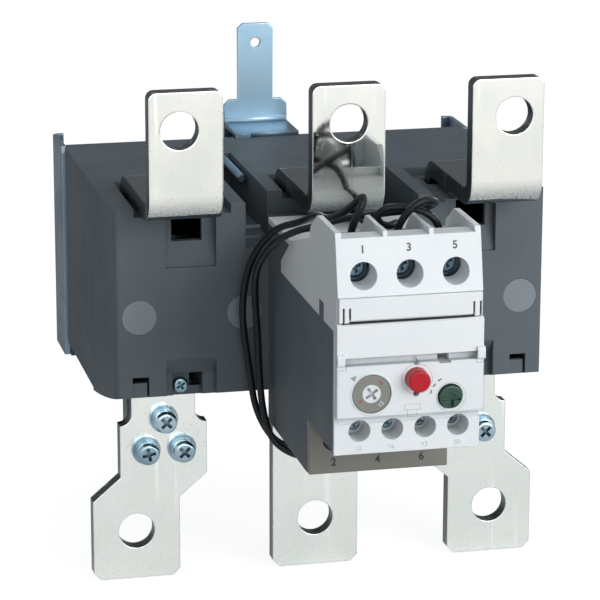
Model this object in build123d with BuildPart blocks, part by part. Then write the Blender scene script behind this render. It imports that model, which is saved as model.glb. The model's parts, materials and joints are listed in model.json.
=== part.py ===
"""Thermal overload relay with a current transformer block and three busbar poles.

Frame: X to the right, Y to the back, Z up. The origin is on the mounting plane
(the back of the base plate), on the centre line, at half height of the block's front.
"""
import os
from math import cos, pi, radians, sin, sqrt, tan

from build123d import *

os.makedirs("parts", exist_ok=True)

# Clearances
seat_gap = 0.1          # flat faces that are clipped together
running_gap = 0.08      # radial play of a shaft or slide
free_gap = 0.3          # pieces that pass each other

# Base plate: a zinc plated channel behind the block
phase_pitch = 53.0      # distance between the poles
plate_thickness = 1.8
plate_width = 2 * (phase_pitch + 22.0)
web_top = 26.5
plate_top = 32.0
plate_bottom = -45.0
flange_depth = 24.0
plate_bend_radius = 2.6

# Fixing bracket on top of the plate
tab_thickness = 1.6
tab_width = 13.2
tab_top = 69.8
tab_chamfer = 1.6
tab_shoulder_width = 23.4
tab_shoulder_top = 41.8
tab_hole_diameter = 3.6
tab_hole_height = 62.7
tab_seat = 1.5
lip_width = 5.4
lip_depth = 2.2

# Transformer block: a front cover and a rear body, both moulded
block_front = -122.0
cover_depth = 42.0
block_top = 32.0
block_front_bottom = -32.0
block_middle_bottom = -42.2
block_front_width = plate_width - 4.3
block_split_width = plate_width - 2.2
parting_groove = 0.4
block_wall = 3.0
roof_wall = 6.0
rear_step_height = 26.0
rear_step_depth = 20.0
rear_pocket_depth = 19.0
corner_radius = 2.0
body_chamfer = 5.0

# Poles: three phases side by side
middle_half_width = 18.5
outer_inner_edge = phase_pitch - 23.7
trench_bottom = 16.7
trench_back = -45.0
stud_x = 21.0
stud_z = 29.6
stud_radius = 1.6
middle_recess_depth = 16.0
middle_recess_bottom = 24.0
channel_depth = 3.0
channel_inner_margin = 6.9
channel_outer_margin = 1.4
channel_length = 40.0

# Marking recesses, clip windows and screw plugs on the front
recess_depth = 4.0
recess_inner_edge = phase_pitch - 13.9
recess_outer_edge = phase_pitch + 3.0
upper_recess_edge = 20.6
upper_recess_foot = 11.5
recess_ledge = 1.2
lower_recess_edge = -25.5
lower_recess_head = -19.6
window_width = 10.2
window_centre = phase_pitch - 4.7
window_foot = 19.6
clip_centre = phase_pitch + 11.6
clip_width = 5.6
clip_top = -25.1
clip_tongue_top = -27.4
clip_tongue_recess = 1.0
clip_slit = 0.6
plug_radius = 5.8
plug_depth = 2.0
plug_height = -4.7
plug_outer_x = phase_pitch + 11.9
plug_inner_x = phase_pitch - 23.3
boss_radius = 4.6

# Busbars: one strip per pole, bent in a Z
bar_width = 24.0
bar_thickness = 5.7
bar_front = -143.6
bar_top = 74.2
bar_seat = 31.3
bar_inner_front = -93.0
bar_bottom = -65.0
bar_bend_radius = 3.0
bar_corner_radius = 2.6
bar_hole_diameter = 12.4
bar_hole_height = 61.8
bar_hole_offset = 2.1
slot_margin = 1.4

# Terminal plates, screwed to the lower ends of the bars
terminal_thickness = 5.5
terminal_top = -34.0
terminal_neck_width = 22.0
terminal_width = 30.0
terminal_notch_height = -45.0
terminal_jog = 9.6
terminal_jog_top = -67.3
terminal_jog_bottom = -75.5
terminal_bottom = -103.7
terminal_chamfer = 2.5
terminal_hole_height = -86.7

# Screws of the terminal plates
plate_screw_radius = 2.5
plate_screw_head_radius = 3.9
plate_screw_head_height = 3.9
plate_washer_radius = 4.9
plate_washer_thickness = 1.1
spring_washer_radius = 4.3
spring_washer_thickness = 1.5
screw_triangle_top = -47.0
screw_triangle_drop = 10.8
screw_triangle_half = 6.15

# Current transformers round the bars
core_bottom = 0.6
core_height = 13.4
core_leg = 5.0
core_side_leg = 3.6
core_play = 0.6
winding_thickness = 2.6
winding_half_width = 7.0

# Relay module on the front of the block
relay_centre = 0.8
relay_width = 45.0
relay_depth = 92.2
relay_wall = 1.8
relay_bottom = -42.5
relay_step = relay_depth - 36.2
relay_step_bottom = -25.0
relay_front_edge = block_front - relay_depth
relay_shoulder = 13.2
pole_pitch = 14.3

# Upper terminal cover
cover_top_front = relay_front_edge - 0.4
cover_top = 42.2
fin_top = 43.9
fin_thickness = 1.4
cover_seam = 25.0
cover_seam_front = relay_front_edge - 4.0
rear_deck = 27.0
line_well_radius = 4.15
line_well_height = 31.0
slot_front = relay_front_edge + 6.7

# Strip between the upper and the lower cover
strip_bottom = 17.1
strip_gap_top = 17.9
strip_thickness = 2.4
strip_slit = 0.6
strip_slit_top = 21.8
strip_slit_left = (1.65, 3.6)
strip_slit_right = (2.95, 0.9)

# Lower cover
lid_width = 45.6
lid_top = 16.8
lid_face = relay_front_edge - 4.8
lid_foot_face = lid_face + 3.4
lid_foot_top = -12.4
lid_bottom = -25.1
lid_wall = 2.2
hinge_height = 4.95
hinge_recess_half = 1.25
hinge_recess_floor = lid_face + 2.6
aux_well_radius = 3.4
aux_well_height = -17.8
aux_pitch = 10.3
aux_shift = 0.55

# Clear flap
flap_width = 45.6
flap_thickness = 1.0
flap_front = lid_face - free_gap - flap_thickness
flap_bottom = lid_foot_top - free_gap
flap_lip = 1.2
flap_top = 4.4
flap_shoulder = 3.0
hinge_axis_y = lid_face + 0.4
hinge_radius = 0.95
hinge_pin_radius = 0.6
hinge_ear = 2.4
hinge_ear_front = lid_face - 1.2
hinge_ear_top = 7.7
hinge_ear_round = 1.1
latch_x = 1.05
latch_width = 4.8
latch_stem_width = 2.9
latch_top = -8.8
latch_middle = -10.4

# Dial
dial_x = -11.25
dial_z = -5.25
dial_radius = 5.95
dial_head_radius = 2.85
dial_thickness = 1.6
dial_stem_radius = 2.3
cam_offset = 0.8

# Stop button
stop_x = 2.6
stop_z = -1.15
stop_radius = 3.4
stop_front = lid_face - 4.5
stop_notch = 4.9
stop_travel = 2.5

# Reset button
reset_x = 13.3
reset_z = -7.5
reset_radius = 3.6
reset_front = lid_face - 1.4
reset_travel = 2.0
sleeve_radius = 5.0

# Trip flag window
flag_x = 11.55
flag_window_width = 3.6
flag_window_height = 2.3
flag_window_z = 4.15
flag_travel = 1.8

# Load terminal block under the relay
load_bottom = -42.3
load_well_radius = 4.0
load_well_height = -31.0

# Leads of the current transformers
lead_radius = 1.15

# Derived places
block_back = -flange_depth
split_y = block_front + cover_depth
inner_plate_y = -plate_thickness
half_front = block_front_width / 2
half_split = block_split_width / 2
half_rear = plate_width / 2 - plate_thickness - 2 * seat_gap
channel_floor = block_top - channel_depth
bar_outer_edge = phase_pitch + bar_width / 2
bar_inner_edge = phase_pitch - bar_width / 2
bar_centre_y = bar_inner_front + bar_thickness / 2
terminal_front = bar_inner_front - terminal_thickness
relay_left = relay_centre - relay_width / 2
relay_right = relay_centre + relay_width / 2
relay_back = block_front
relay_step_y = relay_back - relay_step
load_front = relay_step_y - 4.0
pole_x = [relay_centre + n * pole_pitch for n in (-1, 0, 1)]
aux_x = [relay_centre + aux_shift + (n - 1.5) * aux_pitch for n in range(4)]
sides = {"left": -1, "middle": 0, "right": 1}


def behind(depth):
    """Y of a place that far behind the relay's front edge."""
    return relay_front_edge + depth


def block_bottom(y):
    """Height of the block's curved underside at y: a circle through three points."""
    (ya, za), (yb, zb), (yc, zc) = (
        (block_front, block_front_bottom),
        ((block_front + block_back) / 2, block_middle_bottom),
        (block_back, plate_bottom),
    )
    d = 2 * (ya * (zb - zc) + yb * (zc - za) + yc * (za - zb))
    a2, b2, c2 = ya**2 + za**2, yb**2 + zb**2, yc**2 + zc**2
    oy = (a2 * (zb - zc) + b2 * (zc - za) + c2 * (za - zb)) / d
    oz = (a2 * (yc - yb) + b2 * (ya - yc) + c2 * (yb - ya)) / d
    r = sqrt((ya - oy) ** 2 + (za - oz) ** 2)
    return oz - sqrt(r**2 - (y - oy) ** 2)


def block(x0, x1, y0, y1, z0, z1, mode=Mode.ADD):
    """Add or cut a straight block between two corners in the open part."""
    with Locations(((x0 + x1) / 2, (y0 + y1) / 2, (z0 + z1) / 2)):
        Box(x1 - x0, y1 - y0, z1 - z0, mode=mode)


def rod(x, z, radius, y0, y1, mode=Mode.ADD):
    """Add or cut a round bar along Y in the open part."""
    with Locations(Location((x, (y0 + y1) / 2, z), (90, 0, 0))):
        Cylinder(radius, y1 - y0, mode=mode)


def side_sheet(points, x0, x1, mode=Mode.ADD):
    """Extrude an outline of (y, z) points from x0 to x1."""
    with BuildSketch(Plane.YZ.offset(x0)) as sheet:
        with BuildLine():
            Polyline(*points, close=True)
        make_face()
    extrude(sheet.sketch, amount=x1 - x0, mode=mode)


def write(part, name):
    """Label a finished piece and write it as its own STEP file."""
    part.label = name
    export_step(part, f"parts/{name}.step")


def save_group(solids, name):
    """Write several equal solids as one node."""
    write(Compound(label=name, children=solids), name)


def pan_screw(x, z, seat, tip, shank, head, height, turn=0.0):
    """A cross-recessed pan head screw along +Y, its head in front of seat."""
    with BuildPart() as screw:
        rod(x, z, shank, seat, tip)
        rod(x, z, head, seat - height, seat)
        crown = screw.edges().filter_by(GeomType.CIRCLE).sort_by(Axis.Y)[0]
        fillet(crown, min(head, height) * 0.35)
        with BuildSketch(Plane(origin=(x, seat - height, z), x_dir=(1, 0, 0), z_dir=(0, -1, 0))):
            for angle in (turn, turn + 90):
                Rectangle(head * 1.15, head * 0.26, rotation=angle)
        extrude(amount=-height * 0.45, mode=Mode.SUBTRACT)
    return screw.part


# Base plate: web against the panel, two side flanges forward
with BuildPart() as base_plate:
    half = plate_width / 2
    with BuildSketch(Plane.XY.offset(plate_bottom)):
        with BuildLine():
            Polyline(
                (-half, -flange_depth), (-half, 0), (half, 0), (half, -flange_depth),
                (half - plate_thickness, -flange_depth), (half - plate_thickness, -plate_thickness),
                (-half + plate_thickness, -plate_thickness), (-half + plate_thickness, -flange_depth),
                close=True,
            )
        make_face()
    extrude(amount=plate_top - plate_bottom)
    bends = base_plate.edges().filter_by(Axis.Z).group_by(Axis.Y)[-1]
    fillet(bends, plate_bend_radius)
    lower_corners = (
        base_plate.edges().filter_by(Axis.X).filter_by(lambda e: e.length < 2 * plate_thickness)
    ).group_by(Axis.Y)[0]
    chamfer(lower_corners, 2.0)
    # The web ends lower than the flanges, except behind the bracket
    for x0, x1 in ((-half + 4.0, -tab_shoulder_width / 2), (tab_shoulder_width / 2, half - 4.0)):
        block(x0, x1, -plate_thickness - 1, 1, web_top, plate_top + 1, mode=Mode.SUBTRACT)
    plate_screw_x = plate_width / 2 - 16.0
    plate_screw_z = (18.0, -33.0)
    for z in plate_screw_z:
        for x in (-plate_screw_x, plate_screw_x):
            rod(x, z, 2.2, -plate_thickness, 0, mode=Mode.SUBTRACT)
            with Locations(Location((x, -plate_thickness / 2, z), (-90, 0, 0))):
                Cone(2.2, 2.2 + plate_thickness, plate_thickness, mode=Mode.SUBTRACT)
write(base_plate.part, "base_plate")

# Fixing bracket: a standing tab with a hole, a shelf on the block, a lip in its notch
shelf_front = -rear_step_depth - tab_seat
shelf_top = block_top + tab_thickness
with BuildPart() as mounting_tab:
    with BuildSketch(Plane.XZ):
        with BuildLine():
            shoulder, half_tab = tab_shoulder_width / 2, tab_width / 2
            Polyline(
                (-shoulder, block_top), (-shoulder, tab_shoulder_top), (-half_tab, tab_shoulder_top),
                (-half_tab, tab_top), (half_tab, tab_top), (half_tab, tab_shoulder_top),
                (shoulder, tab_shoulder_top), (shoulder, block_top), close=True,
            )
        make_face()
        inner = [v for v in vertices() if abs(v.Z - tab_shoulder_top) < 0.01 and abs(abs(v.X) - half_tab) < 0.01]
        rest = [v for v in vertices() if v.Z > block_top + 1 and v not in inner]
        chamfer(rest, tab_chamfer)
    extrude(amount=tab_thickness)
    block(-shoulder, shoulder, shelf_front, 0, block_top, shelf_top)
    block(-shoulder, -shoulder + lip_width, shelf_front - tab_thickness, shelf_front,
          block_top - lip_depth, shelf_top)
    rod(0, tab_hole_height, tab_hole_diameter / 2, -tab_thickness, 0, mode=Mode.SUBTRACT)
    bend = mounting_tab.edges().filter_by(Axis.X).filter_by(
        lambda e: abs(e.center().Y + tab_thickness) < 0.01 and abs(e.center().Z - shelf_top) < 0.01)
    fillet(bend, 1.4)
write(mounting_tab.part, "mounting_tab")

# Transformer block, whole outside form
with BuildPart() as envelope:
    with BuildSketch(Plane.YZ):
        with BuildLine():
            Polyline(
                (block_front, block_front_bottom), (block_front, block_top),
                (-rear_step_depth, block_top), (-rear_step_depth, rear_step_height),
                (inner_plate_y, rear_step_height), (inner_plate_y, plate_bottom),
                (block_back, plate_bottom),
            )
            ThreePointArc(
                (block_back, plate_bottom),
                ((block_front + block_back) / 2, block_middle_bottom),
                (block_front, block_front_bottom),
            )
        make_face()
    extrude(amount=plate_width / 2, both=True)
    with BuildSketch(Plane.XY.offset(-100)):
        with BuildLine():
            Polyline(
                (0, block_front), (half_front, block_front), (half_split, split_y),
                (half_split, block_back), (half_rear, block_back), (half_rear, inner_plate_y),
                (0, inner_plate_y),
            )
            mirror(about=Plane.YZ)
        make_face()
    extrude(amount=200, mode=Mode.INTERSECT)
    front_corners = envelope.edges().filter_by(
        lambda e: abs(e.center().Y - block_front) < 0.01 and abs(abs(e.center().X) - half_front) < 0.01)
    fillet(front_corners, corner_radius)

# The hollow inside both shells, before the walls of the outside recesses are left standing
with BuildPart() as hollow:
    with BuildSketch(Plane.YZ):
        with BuildLine():
            front, back = block_front + block_wall, block_back + 1.0
            middle = (front + back) / 2
            Polyline(
                (front, block_bottom(front) + block_wall), (front, block_top - roof_wall),
                (back, block_top - roof_wall), (back, block_bottom(block_back) + block_wall),
            )
            ThreePointArc(
                (back, block_bottom(block_back) + block_wall),
                (middle, block_bottom(middle) + block_wall),
                (front, block_bottom(front) + block_wall),
            )
        make_face()
    extrude(amount=half_front - block_wall, both=True)
    wall = block_wall - 0.6
    for side in (-1, 1):
        block(min(side * (middle_half_width - wall), side * (outer_inner_edge + wall)),
              max(side * (middle_half_width - wall), side * (outer_inner_edge + wall)),
              block_front, trench_back + wall, trench_bottom - wall, block_top, mode=Mode.SUBTRACT)
        block(min(side * (recess_inner_edge - wall), side * (recess_outer_edge + wall)),
              max(side * (recess_inner_edge - wall), side * (recess_outer_edge + wall)),
              block_front, block_front + recess_depth + wall, upper_recess_foot, block_top,
              mode=Mode.SUBTRACT)
        block(min(side * (recess_inner_edge - wall), side * (recess_outer_edge + wall)),
              max(side * (recess_inner_edge - wall), side * (recess_outer_edge + wall)),
              block_front, block_front + recess_depth + wall, plate_bottom, lower_recess_head,
              mode=Mode.SUBTRACT)
        for x in (plug_inner_x, plug_outer_x):
            rod(side * x, plug_height, boss_radius, block_front, split_y + 20, mode=Mode.SUBTRACT)
    block(-middle_half_width, middle_half_width, block_front,
          block_front + middle_recess_depth + wall, middle_recess_bottom - wall, block_top,
          mode=Mode.SUBTRACT)

# Cuts that both shells share: trenches between the poles
with BuildPart() as trenches:
    for side in (-1, 1):
        block(min(side * middle_half_width, side * outer_inner_edge),
              max(side * middle_half_width, side * outer_inner_edge),
              block_front - 1, trench_back, trench_bottom, block_top + 1)

# Free space under the curved underside, to trim ribs and bosses
with BuildPart() as below:
    with BuildSketch(Plane.YZ):
        with BuildLine():
            ThreePointArc(
                (block_back, plate_bottom),
                ((block_front + block_back) / 2, block_middle_bottom),
                (block_front, block_front_bottom),
            )
            Polyline((block_front, block_front_bottom), (block_front, -60), (block_back, -60),
                     (block_back, plate_bottom))
        make_face()
    extrude(amount=plate_width, both=True)

# Front cover of the block
locking_z = -30.4
locking_x = phase_pitch - 2.8
locking_head_radius = 2.6
locking_boss = 3.2
locking_head_y = block_front + recess_depth + 4.0
with BuildPart() as housing_cover:
    add(envelope.part)
    block(-plate_width, plate_width, split_y, 10, -100, 100, mode=Mode.SUBTRACT)
    add(hollow.part, mode=Mode.SUBTRACT)
    for side in (-1, 1):
        # Boss behind the locking screw, from the floor up
        block(side * locking_x - locking_boss, side * locking_x + locking_boss,
              block_front + recess_depth, bar_inner_front - 3.0, block_bottom(split_y) + 1, locking_z + 4)
        # Rib under the front leg of the transformer core
        rib_x = side * (phase_pitch - 11.0)
        block(rib_x - 1, rib_x + 1, block_front + block_wall - 1, bar_inner_front, block_bottom(split_y) + 1, core_bottom)
    block(-12, -10, block_front + block_wall - 1, bar_inner_front, block_bottom(split_y) + 1, core_bottom)
    add(trenches.part, mode=Mode.SUBTRACT)
    add(below.part, mode=Mode.SUBTRACT)
    # Recessed front of the middle pole
    block(-middle_half_width, middle_half_width, block_front - 1,
          block_front + middle_recess_depth, middle_recess_bottom, block_top + 1, mode=Mode.SUBTRACT)
    # Busbar channels and the slots at their back ends
    for name, side in sides.items():
        if side:
            edges = sorted((side * (bar_outer_edge + channel_outer_margin),
                            side * (bar_inner_edge - channel_inner_margin)))
        else:
            edges = [-bar_width / 2 - channel_outer_margin, bar_width / 2 + channel_outer_margin]
        block(edges[0], edges[1], block_front - 1, block_front + channel_length, channel_floor,
              block_top + 1, mode=Mode.SUBTRACT)
        centre = side * phase_pitch
        block(centre - bar_width / 2 - slot_margin, centre + bar_width / 2 + slot_margin,
              bar_inner_front - 2.5, bar_inner_front + bar_thickness + 2.0,
              trench_bottom, block_top, mode=Mode.SUBTRACT)
        # Opening in the underside for the bar and its terminal plate
        block(centre - bar_width / 2 - slot_margin, centre + bar_width / 2 + slot_margin,
              terminal_front - slot_margin, bar_inner_front + bar_thickness + slot_margin,
              -60, block_bottom(block_front) + block_wall + 1, mode=Mode.SUBTRACT)
        # Free way for the bar where it passes the screw bosses
        block(centre - bar_width / 2 - core_play, centre + bar_width / 2 + core_play,
              bar_inner_front - core_play, bar_inner_front + bar_thickness + core_play,
              block_bottom(split_y), 1.0, mode=Mode.SUBTRACT)
        # Ribs that carry the bar in its channel
        for rib_y in (block_front + 10.0, block_front + 22.0):
            if side or rib_y > block_front + middle_recess_depth:
                block(centre - 8, centre + 8, rib_y - 1, rib_y + 1, channel_floor, bar_seat)
    for side in (-1, 1):
        x0, x1 = sorted((side * recess_inner_edge, side * recess_outer_edge))
        # Upper marking recess: a pocket whose floor slopes out to the face
        side_sheet([(block_front - 1, block_top + 1), (block_front + recess_depth, block_top + 1),
                    (block_front + recess_depth, upper_recess_edge), (block_front + recess_ledge, upper_recess_foot),
                    (block_front - 1, upper_recess_foot)], x0, x1, mode=Mode.SUBTRACT)
        w0 = side * window_centre - window_width / 2
        block(w0, w0 + window_width, block_front, block_front + 14.0, window_foot,
              block_top + 1, mode=Mode.SUBTRACT)
        # Lower marking recess, open at the underside
        side_sheet([(block_front - 1, lower_recess_head), (block_front, lower_recess_head),
                    (block_front + recess_depth, lower_recess_edge), (block_front + recess_depth, -60),
                    (block_front - 1, -60)], x0, x1, mode=Mode.SUBTRACT)
        block(w0, w0 + window_width, block_front, locking_head_y, -60, lower_recess_edge, mode=Mode.SUBTRACT)
        rod(side * locking_x, locking_z, 2.0 + running_gap, block_front, bar_inner_front + 1, mode=Mode.SUBTRACT)
        # Clip window with its tongue
        c0 = side * clip_centre - clip_width / 2
        block(c0, c0 + clip_width, block_front - 1, block_front + block_wall + 1,
              clip_tongue_top, clip_top, mode=Mode.SUBTRACT)
        block(c0, c0 + clip_width, block_front - 1, block_front + clip_tongue_recess,
              -60, clip_tongue_top, mode=Mode.SUBTRACT)
        block(c0 + clip_width - clip_slit, c0 + clip_width, block_front - 1,
              block_front + block_wall + 1, -60, clip_tongue_top, mode=Mode.SUBTRACT)
        for x in (plug_inner_x, plug_outer_x):
            rod(side * x, plug_height, plug_radius + running_gap, block_front - 1,
                block_front + plug_depth, mode=Mode.SUBTRACT)
            rod(side * x, plug_height, 3.6, block_front, block_front + plug_depth + 3.0, mode=Mode.SUBTRACT)
            rod(side * x, plug_height, 2.0 + running_gap, block_front, split_y + 1, mode=Mode.SUBTRACT)
        # Small steps inside the trench's front end
        for z in (20.6, 24.0):
            s0, s1 = sorted((side * outer_inner_edge, side * (outer_inner_edge - 5.0)))
            block(s0, s1, block_front, block_front + 1.6, z - 0.4, z + 0.4)
    # Holes for the relay's fixing screws
    relay_screw_x = [relay_centre - 14.0, relay_centre + 14.0]
    relay_screw_z = -14.0
    for x in relay_screw_x:
        rod(x, relay_screw_z, 2.0 + running_gap, block_front - 1, block_front + block_wall + 1, mode=Mode.SUBTRACT)
    # Holes for the transformer leads, in the floor and in the recessed front
    lead_floor_x = (-9.5, -5.0)
    lead_floor_y = block_front + 9.0
    for x in lead_floor_x:
        with Locations((x, lead_floor_y, block_front_bottom)):
            Cylinder(2.4, 14.0, mode=Mode.SUBTRACT)
    lead_wall_x = 5.0
    lead_wall_z = rear_deck + 2.3
write(housing_cover.part, "housing_cover")

# Rear body of the block
with BuildPart() as housing_body:
    add(envelope.part)
    block(-plate_width, plate_width, block_front - 1, split_y, -100, 100, mode=Mode.SUBTRACT)
    add(hollow.part, mode=Mode.SUBTRACT)
    for side in (-1, 0, 1):
        for offset in (-11.0, 11.0):
            x = side * phase_pitch + offset
            block(x - 1, x + 1, split_y, block_back + 2, block_bottom(block_back) + 1, core_bottom)
    # Ribs that carry the two inner screw bosses
    for x in (-plug_inner_x, plug_inner_x):
        block(x - 1, x + 1, split_y, split_y + 20.0, block_bottom(block_back) + 1, plug_height - boss_radius + 1)
    add(trenches.part, mode=Mode.SUBTRACT)
    add(below.part, mode=Mode.SUBTRACT)
    # Bevel along each lower edge, fading out towards the parting line
    for side in (-1, 1):
        for y, size in ((split_y - 0.01, 1.0), (block_back, body_chamfer)):
            low = block_bottom(y)
            with BuildSketch(Plane.XZ.offset(-y)):
                with BuildLine():
                    Polyline(
                        (side * (half_split - size - 4), low - 4), (side * (half_split + 1), low + size + 1),
                        (side * (half_split + 1), low - 4), close=True)
                make_face()
        loft(mode=Mode.SUBTRACT)
    # Groove along the parting line
    block(-plate_width, plate_width, split_y - 1, split_y + parting_groove, block_top - parting_groove,
          block_top + 1, mode=Mode.SUBTRACT)
    for x0, x1 in ((-plate_width, -half_split + parting_groove), (half_split - parting_groove, plate_width)):
        block(x0, x1, split_y - 1, split_y + parting_groove, -60, block_top + 1, mode=Mode.SUBTRACT)
    # Pockets in the back, with ribs left between them
    for n in range(4):
        x0 = -half_rear + 3.0 + n * (2 * half_rear - 3.0) / 4
        block(x0, x0 + (2 * half_rear - 3.0) / 4 - 3.0, inner_plate_y - rear_pocket_depth,
              inner_plate_y + 1, plate_bottom + 3.0, rear_step_height - 3.0, mode=Mode.SUBTRACT)
    for z in plate_screw_z:
        for x in (-plate_screw_x, plate_screw_x):
            rod(x, z, 4.0, inner_plate_y - rear_pocket_depth, inner_plate_y)
            rod(x, z, 1.7, inner_plate_y - 12.0, inner_plate_y, mode=Mode.SUBTRACT)
    for side in (-1, 1):
        for x in (plug_inner_x, plug_outer_x):
            rod(side * x, plug_height, 2.0 + running_gap, split_y - 1, split_y + 14.0, mode=Mode.SUBTRACT)
        rod(side * stud_x, stud_z, stud_radius + running_gap, trench_back - 1, trench_back + 10.0, mode=Mode.SUBTRACT)
    notch = tab_shoulder_width / 2
    block(-notch - 0.3, -notch + lip_width + 0.3, shelf_front - tab_thickness - 0.3,
          -rear_step_depth + 1, block_top - lip_depth - 0.3, block_top + 1, mode=Mode.SUBTRACT)
write(housing_body.part, "housing_body")

# Plugs and screws that close the block
plugs, cover_screws, studs, plate_screws = [], [], [], []
for side in (-1, 1):
    for x in (plug_inner_x, plug_outer_x):
        with BuildPart() as plug:
            rod(side * x, plug_height, plug_radius, block_front, block_front + plug_depth)
        plugs.append(plug.part)
        cover_screws.append(pan_screw(side * x, plug_height, block_front + plug_depth + 3.0,
                                      split_y + 12.0, 2.0, 3.4, 2.6))
    with BuildPart() as stud:
        rod(side * stud_x, stud_z, stud_radius, trench_back - 31.0, trench_back + 9.0)
        chamfer(stud.edges().filter_by(GeomType.CIRCLE), 0.4)
    studs.append(stud.part)
    for z in plate_screw_z:
        with BuildPart() as countersunk:
            rod(side * plate_screw_x, z, 1.6, -11.0, -plate_thickness)
            with Locations(Location((side * plate_screw_x, -plate_thickness / 2, z), (-90, 0, 0))):
                Cone(1.9, 1.9 + plate_thickness, plate_thickness)
        plate_screws.append(countersunk.part)
save_group(plugs, "screw_plugs")
save_group(cover_screws, "cover_screws")
save_group(studs, "earth_studs")
save_group(plate_screws, "base_plate_screws")

# Busbars and terminal plates
plate_screw_list, washer_list, locking_screws = [], [], []
head_turns = (45.0, 12.0, 45.0)
for name, side in sides.items():
    centre = side * phase_pitch
    hole_x = centre + side * bar_hole_offset
    with BuildPart() as bar:
        front_mid = bar_front + bar_thickness / 2
        shelf_mid = bar_seat + bar_thickness / 2
        with BuildLine() as route:
            FilletPolyline(
                (centre, front_mid, bar_top), (centre, front_mid, shelf_mid),
                (centre, bar_centre_y, shelf_mid), (centre, bar_centre_y, bar_bottom),
                radius=bar_bend_radius + bar_thickness / 2,
            )
        with BuildSketch(Plane(origin=(centre, front_mid, bar_top), x_dir=(1, 0, 0), z_dir=(0, 0, -1))):
            Rectangle(bar_width, bar_thickness)
        sweep()
        top_corners = bar.edges().filter_by(Axis.Y).group_by(Axis.Z)[-1]
        fillet(top_corners, bar_corner_radius)
        rod(hole_x, bar_hole_height, bar_hole_diameter / 2, bar_front - 1, bar_front + bar_thickness + 1,
            mode=Mode.SUBTRACT)
        if side:
            rod(side * locking_x, locking_z, 2.0 + running_gap, bar_inner_front - 1,
                bar_inner_front + bar_thickness + 1, mode=Mode.SUBTRACT)
            # Notch in the edge for the cover screw that passes it
            rod(side * plug_outer_x, plug_height, 2.9, bar_inner_front - 1,
                bar_inner_front + bar_thickness + 1, mode=Mode.SUBTRACT)
        points = [(centre, screw_triangle_top)] + [
            (centre + k * screw_triangle_half, screw_triangle_top - screw_triangle_drop) for k in (-1, 1)]
        for x, z in points:
            rod(x, z, plate_screw_radius + running_gap, bar_inner_front - 1,
                bar_inner_front + bar_thickness + 1, mode=Mode.SUBTRACT)
    write(bar.part, f"phase_bar_{name}")

    with BuildPart() as terminal:
        neck, wide = terminal_neck_width / 2, terminal_width / 2
        jog = terminal_jog * side
        notch_radius = wide - neck
        with BuildSketch(Plane.XZ.offset(-terminal_front)):
            with BuildLine():
                Polyline((centre - neck, terminal_notch_height), (centre - neck, terminal_top),
                         (centre + neck, terminal_top), (centre + neck, terminal_notch_height))
                RadiusArc((centre + neck, terminal_notch_height),
                          (centre + wide, terminal_notch_height - notch_radius), -notch_radius)
                Polyline(
                    (centre + wide, terminal_notch_height - notch_radius),
                    (centre + wide, terminal_jog_top), (centre + wide + jog, terminal_jog_bottom),
                    (centre + wide + jog, terminal_bottom + terminal_chamfer),
                    (centre + wide + jog - terminal_chamfer, terminal_bottom),
                    (centre - wide + jog + terminal_chamfer, terminal_bottom),
                    (centre - wide + jog, terminal_bottom + terminal_chamfer),
                    (centre - wide + jog, terminal_jog_bottom), (centre - wide, terminal_jog_top),
                    (centre - wide, terminal_notch_height - notch_radius),
                )
                RadiusArc((centre - wide, terminal_notch_height - notch_radius),
                          (centre - neck, terminal_notch_height), -notch_radius)
            make_face()
        extrude(amount=-terminal_thickness)
        rod(centre + jog, terminal_hole_height, bar_hole_diameter / 2, terminal_front - 1,
            bar_inner_front + 1, mode=Mode.SUBTRACT)
        for x, z in points:
            rod(x, z, plate_screw_radius + running_gap, terminal_front - 1, bar_inner_front + 1,
                mode=Mode.SUBTRACT)
    write(terminal.part, f"terminal_plate_{name}")

    spring_seat = terminal_front - plate_washer_thickness
    head_seat = spring_seat - spring_washer_thickness
    for (x, z), turn in zip(points, head_turns):
        with BuildPart() as washer:
            rod(x, z, plate_washer_radius, spring_seat, terminal_front)
            rod(x, z, spring_washer_radius, head_seat, spring_seat)
            rod(x, z, plate_screw_radius + running_gap, head_seat, terminal_front, mode=Mode.SUBTRACT)
        washer_list.append(washer.part)
        plate_screw_list.append(pan_screw(x, z, head_seat, bar_inner_front + bar_thickness + 1.0,
                                          plate_screw_radius, plate_screw_head_radius,
                                          plate_screw_head_height, turn))
    if side:
        locking_screws.append(pan_screw(side * locking_x, locking_z, locking_head_y,
                                        bar_inner_front + bar_thickness, 2.0,
                                        locking_head_radius, 2.4, 30.0))
save_group(washer_list, "terminal_washers")
save_group(plate_screw_list, "terminal_plate_screws")
save_group(locking_screws, "bar_locking_screws")

# Current transformers: a closed core round each bar and a winding on its rear leg
window_front = bar_inner_front - core_play
window_back = bar_inner_front + bar_thickness + core_play + winding_thickness + core_play
core_half = bar_width / 2 + core_play + core_side_leg
for name, side in sides.items():
    centre = side * phase_pitch
    with BuildPart() as core:
        block(centre - core_half, centre + core_half, window_front - core_leg, window_back + core_leg,
              core_bottom, core_bottom + core_height)
        fillet(core.edges().filter_by(Axis.Z), 2.5)
        block(centre - bar_width / 2 - core_play, centre + bar_width / 2 + core_play, window_front,
              window_back, core_bottom, core_bottom + core_height, mode=Mode.SUBTRACT)
    write(core.part, f"transformer_core_{name}")
    with BuildPart() as winding:
        block(centre - winding_half_width, centre + winding_half_width,
              window_back - winding_thickness, window_back + core_leg + winding_thickness,
              core_bottom - winding_thickness, core_bottom + core_height + winding_thickness)
        fillet(winding.edges().filter_by(Axis.X), 1.6)
        block(centre - winding_half_width, centre + winding_half_width, window_back,
              window_back + core_leg, core_bottom, core_bottom + core_height, mode=Mode.SUBTRACT)
    write(winding.part, f"transformer_winding_{name}")

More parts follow.
